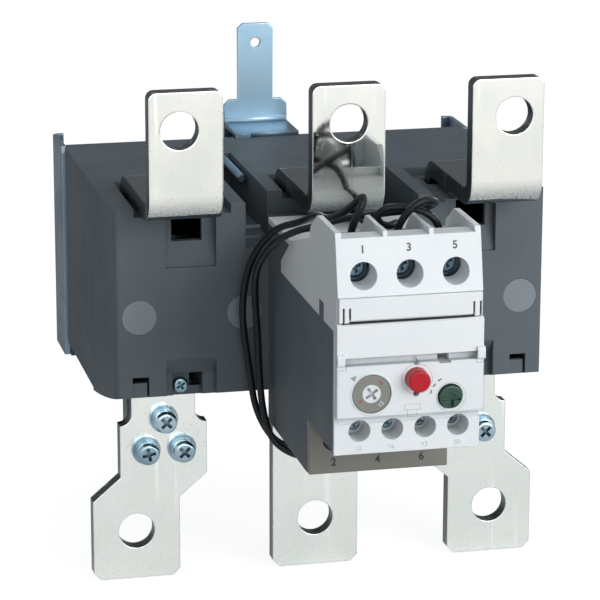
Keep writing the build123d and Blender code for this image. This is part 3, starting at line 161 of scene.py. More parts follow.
class Sheet:
    """A small drawing board for one node tree."""

    def __init__(self, tree: bpy.types.NodeTree) -> None:
        """Keep the tree to draw in."""
        self.tree = tree

    def node(self, kind: str, **values: object) -> bpy.types.Node:
        """Add one node and set its properties or unlinked inputs.

        Args:
            kind: Blender's node type name.
            **values: Properties, or inputs by their name with _ for a space.

        Returns:
            The new node.
        """
        made = self.tree.nodes.new(kind)
        for key, value in values.items():
            if hasattr(made, key):
                setattr(made, key, value)
            else:
                made.inputs[key.replace("_", " ")].default_value = value
        return made

    def link(self, source: bpy.types.NodeSocket, target: bpy.types.NodeSocket) -> None:
        """Join an output to an input."""
        self.tree.links.new(source, target)

    def place(self, coordinate: str = "Object") -> bpy.types.NodeSocket:
        """Give a texture coordinate."""
        return self.node("ShaderNodeTexCoord").outputs[coordinate]

    def axes(self, coordinate: str = "Object") -> bpy.types.NodeOutputs:
        """Give a texture coordinate's X, Y and Z."""
        return self.texture("SeparateXYZ", coordinate).outputs

    def texture(self, kind: str, place: object = "Object", **values: object) -> bpy.types.Node:
        """Add a node that reads a place first.

        Args:
            kind: Node type without its common start.
            place: Name of a texture coordinate, or a socket.
            **values: Properties or inputs, as for node.

        Returns:
            The new node.
        """
        made = self.node(f"ShaderNode{kind}", **values)
        self.link(self.place(place) if isinstance(place, str) else place, made.inputs["Vector"])
        return made

    def math(self, operation: str, first: object, second: object = 0.0) -> bpy.types.NodeSocket:
        """Combine two values.

        Args:
            operation: Name of the arithmetic step.
            first: A socket or a number.
            second: A socket or a number.

        Returns:
            The result's socket.
        """
        made = self.node("ShaderNodeMath", operation=operation)
        for slot, value in zip(made.inputs, (first, second)):
            if isinstance(value, bpy.types.NodeSocket):
                self.link(value, slot)
            else:
                slot.default_value = value
        return made.outputs[0]

    def mix(self, factor: bpy.types.NodeSocket, first: object, second: object) -> bpy.types.NodeSocket:
        """Blend two colours by a changing factor.

        Args:
            factor: Socket that runs from 0 to 1 over the surface.
            first: Colour or socket at 0.
            second: Colour or socket at 1.

        Returns:
            The blended colour's socket.
        """
        made = self.node("ShaderNodeMix", data_type="RGBA")
        self.link(factor, made.inputs[0])
        for slot, value in ((made.inputs[6], first), (made.inputs[7], second)):
            if isinstance(value, bpy.types.NodeSocket):
                self.link(value, slot)
            else:
                slot.default_value = (*value, 1.0)
        return made.outputs[2]

    def spread(self, source: bpy.types.NodeSocket, low: float, high: float,
               start: float = 0.0, end: float = 1.0) -> bpy.types.NodeSocket:
        """Map a value from one range to another, held at its ends.

        Args:
            source: Socket with the value.
            low: Input that gives start.
            high: Input that gives end.
            start: Lowest result.
            end: Highest result.

        Returns:
            The mapped value's socket.
        """
        made = self.node("ShaderNodeMapRange")
        self.link(source, made.inputs["Value"])
        for name, value in (("From Min", low), ("From Max", high), ("To Min", start), ("To Max", end)):
            made.inputs[name].default_value = value
        return made.outputs[0]


@dataclass
class EffectGroup:
    """A shared effect, kept as one node group."""

    title: str
    inputs: dict[str, float]
    outputs: tuple[str, ...]
    tree: bpy.types.NodeTree = field(init=False)

    def __post_init__(self) -> None:
        """Make the empty group with its sockets."""
        self.tree = bpy.data.node_groups.new(self.title, "ShaderNodeTree")
        for name, value in self.inputs.items():
            socket = self.tree.interface.new_socket(name, in_out="INPUT", socket_type="NodeSocketFloat")
            socket.default_value = value
        for name in self.outputs:
            self.tree.interface.new_socket(name, in_out="OUTPUT", socket_type="NodeSocketFloat")
        self.sheet = Sheet(self.tree)
        self.entry = self.sheet.node("NodeGroupInput")
        self.exit = self.sheet.node("NodeGroupOutput")
        self.draw()

    def draw(self) -> None:
        """Fill the group; each effect does this its own way."""

    def place(self, sheet: Sheet, **values: float) -> bpy.types.Node:
        """Use the effect in a material.

        Args:
            sheet: The material's drawing board.
            **values: Inputs by name.

        Returns:
            The group node.
        """
        made = sheet.node("ShaderNodeGroup")
        made.node_tree = self.tree
        for name, value in values.items():
            made.inputs[name.replace("_", " ")].default_value = value
        return made


class MouldGrain(EffectGroup):
    """Spark-eroded texture of a moulding, with slow cloudiness."""

    def draw(self) -> None:
        """Two noises for the grain and one for the clouds."""
        s, entry = self.sheet, self.entry
        fine = s.texture("TexNoise", Detail=3.0, Roughness=0.6)
        s.link(s.math("DIVIDE", 1.0, entry.outputs["Grain Size"]), fine.inputs["Scale"])
        cells = s.texture("TexVoronoi")
        s.link(s.math("DIVIDE", 0.7, entry.outputs["Grain Size"]), cells.inputs["Scale"])
        height = s.math("ADD", fine.outputs[0], s.math("MULTIPLY", cells.outputs["Distance"], 0.45))
        s.link(height, self.exit.inputs["Height"])
        clouds = s.texture("TexNoise", Scale=38.0, Detail=4.0, Roughness=0.55)
        tone = s.math("ADD", s.math("MULTIPLY", clouds.outputs[0], 0.7), s.math("MULTIPLY", fine.outputs[0], 0.3))
        s.link(s.spread(tone, 0.36, 0.64), self.exit.inputs["Tone"])


class EdgeLight(EffectGroup):
    """Mask of the rounded outer edges, where painted highlights and painted shade go."""

    def draw(self) -> None:
        """Compare the true normal with one rounded over the edges."""
        s = self.sheet
        rounded = s.node("ShaderNodeBevel", samples=6)
        s.link(self.entry.outputs["Radius"], rounded.inputs["Radius"])
        surface = s.node("ShaderNodeNewGeometry")
        match = s.node("ShaderNodeVectorMath", operation="DOT_PRODUCT")
        s.link(rounded.outputs[0], match.inputs[0])
        s.link(surface.outputs["Normal"], match.inputs[1])
        s.link(s.spread(match.outputs["Value"], 0.99, 0.84), self.exit.inputs["Mask"])


class RolledLines(EffectGroup):
    """Fine rolling lines and a few scratches in a plated strip."""

    def draw(self) -> None:
        """Stretched noises, one fine and one sparse."""
        s, entry = self.sheet, self.entry
        scale = s.node("ShaderNodeCombineXYZ")
        for axis in ("X", "Y", "Z"):
            s.link(entry.outputs[f"Stretch {axis}"], scale.inputs[axis])
        stretched = s.node("ShaderNodeVectorMath", operation="MULTIPLY")
        s.link(s.place(), stretched.inputs[0])
        s.link(scale.outputs[0], stretched.inputs[1])
        lines = s.texture("TexNoise", stretched.outputs[0], Scale=2600.0, Detail=3.0, Roughness=0.7)
        marks = s.texture("TexNoise", stretched.outputs[0], Scale=420.0, Detail=2.0, Roughness=0.5)
        clouds = s.texture("TexNoise", Scale=55.0, Detail=3.0, Roughness=0.5)
        s.link(lines.outputs[0], self.exit.inputs["Lines"])
        s.link(s.spread(marks.outputs[0], 0.6, 0.72), self.exit.inputs["Scratches"])
        s.link(s.spread(clouds.outputs[0], 0.35, 0.66), self.exit.inputs["Clouds"])


class PlatePits(EffectGroup):
    """Dull pin-prick specks in a plated skin."""

    def draw(self) -> None:
        """Keep a random share of small cells and soften their rims."""
        s, entry = self.sheet, self.entry
        cells = s.texture("TexVoronoi")
        s.link(s.math("DIVIDE", 1.0, entry.outputs["Pitch"]), cells.inputs["Scale"])
        pick = s.node("ShaderNodeSeparateColor")
        s.link(cells.outputs["Color"], pick.inputs[0])
        chosen = s.math("LESS_THAN", pick.outputs[0], entry.outputs["Share"])
        size = s.spread(pick.outputs[1], 0.0, 1.0, 0.16, 0.42)
        spot = s.math("LESS_THAN", cells.outputs["Distance"], size)
        s.link(s.math("MULTIPLY", chosen, spot), self.exit.inputs["Mask"])


class Crevice(EffectGroup):
    """Mask of seams, bores and pockets, where little light reaches."""

    def draw(self) -> None:
        """Measure how far a spot is closed in."""
        s = self.sheet
        open_share = s.node("ShaderNodeAmbientOcclusion", samples=8, only_local=True)
        s.link(self.entry.outputs["Reach"], open_share.inputs["Distance"])
        s.link(s.spread(open_share.outputs["AO"], 0.68, 0.14), self.exit.inputs["Mask"])


class CutEdge(EffectGroup):
    """Mask of the sheared edges and hole walls of a flat strip."""

    def draw(self) -> None:
        """Pick sideways faces, and above the strip's foot all that don't face front or back."""
        s = self.sheet
        facing = s.axes("Normal")
        sideways = s.spread(s.math("ABSOLUTE", facing["X"]), 0.55, 0.75)
        thin = s.spread(s.math("ABSOLUTE", facing["Y"]), 0.55, 0.35)
        upright = s.math("GREATER_THAN", s.axes()["Z"], self.entry.outputs["Foot"])
        s.link(s.math("MAXIMUM", sideways, s.math("MULTIPLY", thin, upright)), self.exit.inputs["Mask"])


class Effects:
    """The shared effects, made once."""

    def __init__(self) -> None:
        """Build the groups."""
        self.grain = MouldGrain("Mould grain", {"Grain Size": 0.4 * MM}, ("Height", "Tone"))
        self.edges = EdgeLight("Edge light", {"Radius": 0.5 * MM}, ("Mask",))
        self.rolled = RolledLines("Rolled lines", {f"Stretch {axis}": 1.0 for axis in "XYZ"},
                                  ("Lines", "Scratches", "Clouds"))
        self.pits = PlatePits("Plate pits", {"Pitch": 0.6 * MM, "Share": 0.2}, ("Mask",))
        self.crevice = Crevice("Crevice", {"Reach": 3.0 * MM}, ("Mask",))
        self.cut_edge = CutEdge("Cut edge", {"Foot": -1.0}, ("Mask",))


@dataclass(frozen=True)
class Finish:
    """A named surface finish."""

    name: str
    colour: Colour

    def build(self, effects: Effects) -> bpy.types.Material:
        """Make the material.

        Args:
            effects: The shared effects.

        Returns:
            The finished material.
        """
        material = bpy.data.materials.new(self.name)
        material.use_nodes = True
        sheet = Sheet(material.node_tree)
        shader = material.node_tree.nodes["Principled BSDF"]
        shader.inputs["Base Color"].default_value = (*self.colour, 1.0)
        self.draw(sheet, shader, effects)
        return material

    def draw(self, sheet: Sheet, shader: bpy.types.Node, effects: Effects) -> None:
        """Wire the finish; each kind does this its own way."""

    @staticmethod
    def bump(sheet: Sheet, shader: bpy.types.Node, height: bpy.types.NodeSocket, depth: float,
             radius: float = 0.0) -> None:
        """Feed a height into the shader's normal, over softly rounded edges.

        Args:
            sheet: The drawing board.
            shader: The surface shader.
            height: Height from 0 to 1.
            depth: Real depth of the height in metres.
            radius: Rounding of the edges in metres.
        """
        made = sheet.node("ShaderNodeBump", Distance=depth, Strength=1.0)
        sheet.link(height, made.inputs["Height"])
        if radius:
            rounded = sheet.node("ShaderNodeBevel", samples=6, Radius=radius)
            sheet.link(rounded.outputs[0], made.inputs["Normal"])
        sheet.link(made.outputs[0], shader.inputs["Normal"])


@dataclass(frozen=True)
class Moulding(Finish):
    """A moulded plastic with a fine spark-eroded grain."""

    second: Colour
    # edge: colour of a painted highlight along the rounded edges, mixed in by edge_share
    edge: Colour
    roughness: float = 0.5
    grain_size: float = 0.4 * MM
    grain_depth: float = 0.02 * MM
    specular: float = 0.5
    rounding: float = 0.35 * MM
    reach: float = 3.0 * MM
    # shade and depth: colour and strength of the painted shade in seams, bores and wells
    shade: Colour = srgb(30, 36, 41)
    depth: float = 0.7
    edge_share: float = 0.55

    def draw(self, sheet: Sheet, shader: bpy.types.Node, effects: Effects) -> None:
        """Clouded colour, a painted highlight on the edges, painted shade in seams and bores, and grain in the normal.
        """
        grain = effects.grain.place(sheet, Grain_Size=self.grain_size)
        edges = effects.edges.place(sheet, Radius=self.rounding * 1.2)
        crevice = effects.crevice.place(sheet, Reach=self.reach)
        tone = sheet.mix(grain.outputs["Tone"], self.colour, self.second)
        # painted highlight along the rounded edges
        soft = sheet.math("MULTIPLY", edges.outputs["Mask"], self.edge_share)
        painted_edge_shading = sheet.mix(soft, tone, self.edge)
        # painted shade where a spot is closed in: seams, bores and wells
        painted_shade = sheet.math("MULTIPLY", crevice.outputs["Mask"], self.depth)
        sheet.link(sheet.mix(painted_shade, painted_edge_shading, self.shade), shader.inputs["Base Color"])
        rough = sheet.spread(grain.outputs["Tone"], 0.0, 1.0, self.roughness - 0.05, self.roughness + 0.06)
        sheet.link(rough, shader.inputs["Roughness"])
        shader.inputs["Specular IOR Level"].default_value = self.specular
        self.bump(sheet, shader, grain.outputs["Height"], self.grain_depth, self.rounding)


@dataclass(frozen=True)
class Plating(Finish):
    """A plated or bare metal with rolling lines."""

    second: Colour
    roughness: float
    spread: float = 0.08
    grain: Grain = Grain.ALONG_Z
    line_depth: float = 0.004 * MM
    rounding: float = 0.4 * MM
    reach: float = 2.0 * MM
    # shade and depth: colour and strength of the painted shade in corners and bores; the rim value is the strength of
    # painted shade on turned rims
    shade: Colour = srgb(34, 58, 70)
    depth: float = 0.75
    rim: float = 0.0

    def draw(self, sheet: Sheet, shader: bpy.types.Node, effects: Effects) -> None:
        """Metal with lines, thin scratches, a slow cloudiness, painted shade in its corners and painted shade on its
        turned rims.
        """
        shader.inputs["Metallic"].default_value = 1.0
        lines = self.lines(sheet, effects)
        crevice = effects.crevice.place(sheet, Reach=self.reach)
        tone = sheet.mix(lines.outputs["Clouds"], self.colour, self.second)
        # painted shade in corners and bores, and on the turned rims
        painted_shade = sheet.math("MULTIPLY", crevice.outputs["Mask"], self.depth)
        if self.rim:
            rims = effects.edges.place(sheet, Radius=self.rounding * 1.6).outputs["Mask"]
            painted_shade = sheet.math("MAXIMUM", painted_shade, sheet.math("MULTIPLY", rims, self.rim))
        sheet.link(sheet.mix(painted_shade, tone, self.shade), shader.inputs["Base Color"])
        sheet.link(self.gloss(sheet, lines), shader.inputs["Roughness"])
        self.bump(sheet, shader, self.relief(sheet, lines), self.line_depth, self.rounding)

    def lines(self, sheet: Sheet, effects: Effects) -> bpy.types.Node:
        """Place the rolling lines along the metal's grain."""
        x, y, z = self.grain.value
        return effects.rolled.place(sheet, Stretch_X=x, Stretch_Y=y, Stretch_Z=z)

    def gloss(self, sheet: Sheet, lines: bpy.types.Node) -> bpy.types.NodeSocket:
        """Work out the roughness.

        Args:
            sheet: The drawing board.
            lines: The rolling lines.

        Returns:
            Roughness with the clouds and scratches in it.
        """
        slow = sheet.spread(lines.outputs["Clouds"], 0.0, 1.0, self.roughness, self.roughness + self.spread)
        return sheet.math("ADD", slow, sheet.math("MULTIPLY", lines.outputs["Scratches"], 0.12))

    def relief(self, sheet: Sheet, lines: bpy.types.Node) -> bpy.types.NodeSocket:
        """Work out the height of the lines less the scratches."""
        return sheet.math("SUBTRACT", lines.outputs["Lines"],
                          sheet.math("MULTIPLY", lines.outputs["Scratches"], 0.8))


@dataclass(frozen=True)
class TinnedStrip(Plating):
    """A tin plated flat bar: bright faces with specks, dull sheared edges made darker with painted shade, and painted
    shade on the rims and at the bend.
    """

    # edge: the sheared edges' dull colour, kept darker than it is as painted shade on edges and tops that face away
    # from the light
    edge: Colour = srgb(84, 94, 99)
    edge_roughness: float = 0.3
    foot: float = -1.0
    # bend shade strength and colour: painted shade towards the bend and on the seat's upward faces
    bend_dull: float = 0.0
    bend_low: float = 31.0 * MM
    bend_high: float = 39.0 * MM
    pit_pitch: float = 0.55 * MM
    pit_share: float = 0.05
    pit_colour: Colour = srgb(150, 154, 148)
    bend_colour: Colour = srgb(66, 86, 100)
    streak: Colour = srgb(176, 182, 180)
    # rim shade colour: painted shade along the rims, broken by a speckle
    rim_colour: Colour = srgb(70, 80, 84)
    rim_radius: float = 0.8 * MM

    def draw(self, sheet: Sheet, shader: bpy.types.Node, effects: Effects) -> None:
        """Bright plating with specks on the faces, a dull tone with painted shade on the edges and rims, and painted
        shade at the bend.
        """
        shader.inputs["Metallic"].default_value = 1.0
        lines = self.lines(sheet, effects)
        # sideways faces and tops above the foot: a dull cut face, darkened further as painted shade
        edge = effects.cut_edge.place(sheet, Foot=self.foot).outputs["Mask"]
        pits = effects.pits.place(sheet, Pitch=self.pit_pitch, Share=self.pit_share).outputs["Mask"]
        tone = sheet.mix(lines.outputs["Clouds"], self.colour, self.second)
        specked = sheet.mix(sheet.math("MULTIPLY", pits, 0.5), tone, self.pit_colour)
        # painted shade at the bend and on the seat
        specked = sheet.mix(self.bend(sheet), specked, self.bend_colour)
        streaked = sheet.mix(lines.outputs["Scratches"], self.edge, self.streak)
        # painted shade along the rims
        rims = effects.edges.place(sheet, Radius=self.rim_radius).outputs["Mask"]
        painted_edge_shading = sheet.math("MULTIPLY", rims, sheet.spread(self.speckle(sheet), 0.5, 0.68, 0.12, 0.75))
        skin = sheet.mix(edge, specked, streaked)
        sheet.link(sheet.mix(painted_edge_shading, skin, self.rim_colour), shader.inputs["Base Color"])
        dull = sheet.math("MULTIPLY", edge, self.edge_roughness - self.roughness)
        rough = sheet.math("ADD", self.gloss(sheet, lines), sheet.math("MULTIPLY", pits, 0.2))
        sheet.link(sheet.math("ADD", rough, dull), shader.inputs["Roughness"])
        height = sheet.math("SUBTRACT", self.relief(sheet, lines), sheet.math("MULTIPLY", pits, 0.6))
        self.bump(sheet, shader, height, self.line_depth, self.rounding)

    @staticmethod
    def speckle(sheet: Sheet) -> bpy.types.NodeSocket:
        """Draw a fine, uneven grain."""
        return sheet.texture("TexNoise", Scale=3000.0, Detail=3.0, Roughness=0.65).outputs[0]

    def bend(self, sheet: Sheet) -> bpy.types.NodeSocket:
        """Mark the painted shade towards the bend at the strip's foot, broken by a speckle, and on the upward faces
        below the foot.

        Args:
            sheet: The drawing board.

        Returns:
            A mask of painted shade that grows towards the bend.
        """
        height = sheet.axes()["Z"]
        # painted shade: darker towards the bend with a speckle, and on upward faces below the foot
        low = sheet.spread(height, self.bend_high, self.bend_low, 0.0, self.bend_dull)
        speckle = sheet.spread(self.speckle(sheet), 0.4, 0.62, 0.35, 1.25)
        upward = sheet.spread(sheet.axes("Normal")["Z"], 0.6, 0.8, 0.0, self.bend_dull)
        seat = sheet.math("MULTIPLY", upward, sheet.math("LESS_THAN", height, self.foot))
        return sheet.math("MAXIMUM", sheet.math("MULTIPLY", low, speckle), seat)


@dataclass(frozen=True)
class Threaded(Plating):
    """A plated stud with a thread cut along Y."""

    pitch: float = 0.7 * MM

    def relief(self, sheet: Sheet, lines: bpy.types.Node) -> bpy.types.NodeSocket:
        """Work out the height of the thread's crests."""
        bands = sheet.texture("TexWave", bands_direction="Y", Scale=WAVE_PER_PITCH / self.pitch)
        return sheet.math("ADD", bands.outputs["Fac"], sheet.math("MULTIPLY", lines.outputs["Lines"], 0.05))


@dataclass(frozen=True)
class Gloss(Finish):
    """A smooth plastic with a slight unevenness."""

    second: Colour
    roughness: float = 0.2
    coat: float = 0.3
    specular: float = 0.5

    def draw(self, sheet: Sheet, shader: bpy.types.Node, effects: Effects) -> None:
        """Glossy colour under a thin clear skin."""
        grain = effects.grain.place(sheet, Grain_Size=0.9 * MM)
        sheet.link(sheet.mix(grain.outputs["Tone"], self.colour, self.second), shader.inputs["Base Color"])
        sheet.link(sheet.spread(grain.outputs["Tone"], 0.0, 1.0, self.roughness, self.roughness + 0.08),
                   shader.inputs["Roughness"])
        shader.inputs["Specular IOR Level"].default_value = self.specular
        shader.inputs["Coat Weight"].default_value = self.coat
        shader.inputs["Coat Roughness"].default_value = 0.08
        self.bump(sheet, shader, grain.outputs["Height"], 0.004 * MM, 0.3 * MM)


@dataclass(frozen=True)
class Clear(Finish):
    """A thin clear moulding, seen by painted grey shade at its rims and a painted sheen at a slant."""

    second: Colour
    # rim shade: painted grey shade at the rims; sheen: a painted sheen at a slant
    rim: Colour = srgb(88, 96, 102)
    veil: float = 0.035
    rim_veil: float = 0.8
    rim_radius: float = 0.2 * MM
    sheen: float = 0.14
    roughness: float = 0.06

    def draw(self, sheet: Sheet, shader: bpy.types.Node, effects: Effects) -> None:
        """Let most light through on the flat, with painted grey shade at the rims and a painted pale sheen at a slant.
        """
        grain = effects.grain.place(sheet, Grain_Size=2.5 * MM)
        edges = effects.edges.place(sheet, Radius=self.rim_radius)
        slant = sheet.node("ShaderNodeLayerWeight", Blend=0.3)
        tone = sheet.mix(grain.outputs["Tone"], self.colour, self.second)
        # painted grey shade on the rims
        sheet.link(sheet.mix(edges.outputs["Mask"], tone, self.rim), shader.inputs["Base Color"])
        rims = sheet.math("MULTIPLY", edges.outputs["Mask"], self.rim_veil)
        # painted sheen: more of the pale colour shows at a slant
        sheen = sheet.math("MULTIPLY", slant.outputs["Facing"], self.sheen)
        veil = sheet.math("ADD", sheet.math("MAXIMUM", rims, sheen), self.veil)
        sheet.link(veil, shader.inputs["Alpha"])
        sheet.link(sheet.spread(grain.outputs["Tone"], 0.0, 1.0, self.roughness, self.roughness + 0.05),
                   shader.inputs["Roughness"])


@dataclass(frozen=True)
class Laminated(Finish):
    """Stacked steel sheets or wound tape, seen as fine layers."""

    second: Colour
    pitch: float
    metallic: float
    roughness: float
    axis: str = "Z"

    def draw(self, sheet: Sheet, shader: bpy.types.Node, effects: Effects) -> None:
        """Bands across the stack with a little disorder."""
        bands = sheet.texture("TexWave", bands_direction=self.axis, Scale=WAVE_PER_PITCH / self.pitch,
                              Distortion=0.6, Detail=1.0)
        sheet.link(sheet.mix(bands.outputs["Fac"], self.colour, self.second), shader.inputs["Base Color"])
        shader.inputs["Metallic"].default_value = self.metallic
        sheet.link(sheet.spread(bands.outputs["Fac"], 0.0, 1.0, self.roughness, self.roughness + 0.15),
                   shader.inputs["Roughness"])
        self.bump(sheet, shader, bands.outputs["Fac"], self.pitch * 0.4)


@dataclass
class Wardrobe:
    """Every finish of the relay, by the record's slot names."""

    effects: Effects = field(default_factory=Effects)
    made: dict[str, bpy.types.Material] = field(default_factory=dict)

    def finishes(self) -> dict[str, Finish]:
        """List the finishes.

        Returns:
            Finish by slot name.
        """
        tin, tin_cloud = srgb(239, 240, 233), srgb(230, 232, 226)
        steel, steel_cloud = srgb(170, 192, 203), srgb(126, 154, 170)
        return {
            "dark_moulding": Moulding("Dark grey moulding", srgb(99, 108, 114), srgb(92, 101, 107),
                                      srgb(122, 130, 136), 0.58, 0.45 * MM, 0.03 * MM, 0.18, depth=0.6,
                                      shade=srgb(26, 30, 33)),
            "white_moulding": Moulding("White moulding", srgb(234, 238, 240), srgb(228, 233, 236),
                                       srgb(238, 242, 244), 0.45, 0.3 * MM, 0.006 * MM, 0.15, reach=3.6 * MM,
                                       shade=srgb(84, 96, 104), depth=0.7),
            "grey_moulding": Moulding("Grey moulding", srgb(126, 125, 117), srgb(118, 117, 110),
                                      srgb(156, 156, 148), 0.48, 0.35 * MM, 0.012 * MM, shade=srgb(50, 50, 46)),
            "dial_grey": Moulding("Dial grey", srgb(124, 123, 113), srgb(116, 115, 106),
                                  srgb(170, 166, 156), 0.36, 0.2 * MM, 0.005 * MM, rounding=0.15 * MM,
                                  reach=1.5 * MM),
            "flag_yellow": Moulding("Flag yellow", srgb(214, 160, 40), srgb(206, 152, 36),
                                    srgb(226, 180, 70), 0.5, 0.2 * MM, 0.005 * MM, rounding=0.1 * MM),
            "plug_moulding": Moulding("Plug moulding", srgb(126, 135, 141), srgb(118, 127, 133),
                                      srgb(150, 158, 164), 0.5, 0.4 * MM, 0.02 * MM, shade=srgb(40, 46, 50)),
            "zinc": Plating("Zinc plate", srgb(150, 170, 184), srgb(128, 150, 168), 0.3, 0.1, Grain.ALONG_X),
            "zinc_blue": Plating("Blue zinc", srgb(166, 195, 213), srgb(146, 178, 199), 0.27, 0.1, Grain.ALONG_Z,
                                 0.008 * MM),
            # a darker copy of the blue zinc for the bracket's shelf: painted shade
            "zinc_shelf_in_painted_shade": Plating("Blue zinc in painted shade", srgb(126, 148, 164), srgb(108, 132, 150), 0.34, 0.1, Grain.ALONG_X,
                                  0.008 * MM),
            "tinned_bar": TinnedStrip("Tinned bar", tin, tin_cloud, 0.035, 0.04, Grain.ALONG_Z, 0.0015 * MM,
                                      0.6 * MM, foot=45.0 * MM, bend_dull=1.2),
            "tinned_plate": TinnedStrip("Tinned plate", srgb(243, 247, 243), srgb(230, 236, 231), 0.16, 0.08,
                                        Grain.ALONG_Z, 0.002 * MM, 0.5 * MM, pit_share=0.12),
            # the screws' shade, depth and rim values paint shade into the cross recess and onto the head's rims
            "steel_screw": Plating("Screw steel", steel, steel_cloud, 0.2, 0.1, Grain.ALONG_X,
                                   0.003 * MM, 0.2 * MM, reach=3.4 * MM, shade=srgb(14, 34, 46), depth=0.95, rim=0.7),
            "stud_steel": Threaded("Stud steel", srgb(128, 152, 168), srgb(104, 130, 148), 0.24, 0.08, Grain.ALONG_X,
                                   0.25 * MM, 0.1 * MM),
            # a darker copy of the screw steel for the screws sunk in wells: painted shade
            "screw_in_painted_shade": Plating("Screw steel in painted shade", srgb(128, 150, 164), srgb(96, 118, 132), 0.2, 0.1,
                                  Grain.ALONG_X, 0.003 * MM, 0.2 * MM, reach=3.0 * MM, shade=srgb(12, 20, 26),
                                  depth=0.9),
            "spring_steel": Plating("Spring steel", srgb(150, 156, 160), srgb(132, 138, 142), 0.3),
            "brass": Plating("Brass", srgb(206, 166, 84), srgb(188, 146, 68), 0.28, rounding=0.15 * MM,
                             shade=srgb(70, 48, 20), depth=0.5),
            "bimetal": Plating("Bimetal", srgb(170, 160, 145), srgb(156, 146, 132), 0.35, rounding=0.1 * MM),
            "red": Gloss("Stop red", srgb(182, 6, 32), srgb(172, 4, 27), 0.32, 0.1, 0.3),
            "green": Gloss("Reset green", srgb(8, 66, 50), srgb(6, 58, 44), 0.28, 0.2),
            "lead_sheath": Gloss("Lead sheath", srgb(20, 24, 28), srgb(14, 18, 21), 0.34, 0.0, 0.22),
            "rubber": Gloss("Grommet rubber", srgb(30, 32, 34), srgb(24, 26, 28), 0.6, 0.0),
            "heater": Laminated("Heater tape", srgb(186, 172, 142), srgb(160, 146, 118), 0.7 * MM, 0.0, 0.7),
            "winding": Laminated("Winding wire", srgb(158, 96, 44), srgb(118, 66, 28), 0.5 * MM, 0.5, 0.35, "X"),
            "core_steel": Laminated("Core sheets", srgb(120, 122, 124), srgb(88, 90, 92), 0.5 * MM, 1.0, 0.4),
            "clear": Clear("Clear flap", srgb(240, 244, 246), srgb(232, 238, 241)),
            **{slot: Moulding(name, srgb(*main), srgb(*second), srgb(*edge), 0.6)
               for slot, name, main, second, edge in (
                   ("ink_dark", "Dark print", (86, 92, 95), (78, 84, 87), (92, 98, 100)),
                   ("ink_black", "Black print", (48, 50, 50), (42, 44, 44), (52, 54, 54)),
                   ("ink_grey", "Grey print", (158, 164, 166), (150, 156, 158), (166, 170, 172)),
                   ("ink_red", "Red print", (176, 52, 58), (166, 46, 52), (182, 64, 68)),
                   ("ink_white", "White print", (236, 238, 236), (228, 230, 228), (240, 242, 240)))},
        }

    def other_finishes(self) -> dict[str, str]:
        """Name the nodes whose finish differs from their slot: finer finishes, and darker copies in painted shade."""
        strips = {f"terminal_plate_{side}": "tinned_plate" for side in ("left", "middle", "right")}
        # the screws in wells take the darker copy, as painted shade
        sunk = {f"{place}_screws": "screw_in_painted_shade" for place in ("auxiliary", "line_terminal", "load_terminal")}
        return {"earth_studs": "stud_steel", **strips, **sunk}

    def build(self) -> None:
        """Make every material."""
        for slot, finish in self.finishes().items():
            self.made[slot] = finish.build(self.effects)
            LOG.info("finish %s", slot)

    def dress_frame(self, frame: dict) -> None:
        """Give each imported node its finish.
        """
        finer = self.other_finishes()
        for entry in frame["record"]["subparts"]:
            node = frame["nodes"][entry["node"]]
            for slot in node.material_slots:
                slot.material = self.made[finer.get(entry["node"], entry["material_slot"])]

    def put(self, name: str, mesh: bpy.types.Mesh, slot: str, body: str = "case") -> bpy.types.Object:
        """Add a new piece in its finish, on its body.

        Args:
            name: The piece's name.
            mesh: Its mesh.
            slot: The finish.
            body: The body it moves with.

        Returns:
            The new piece.
        """
        piece = add_piece(name, mesh)
        mesh.materials.clear()
        mesh.materials.append(self.made[slot])
        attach(piece, body)
        return piece


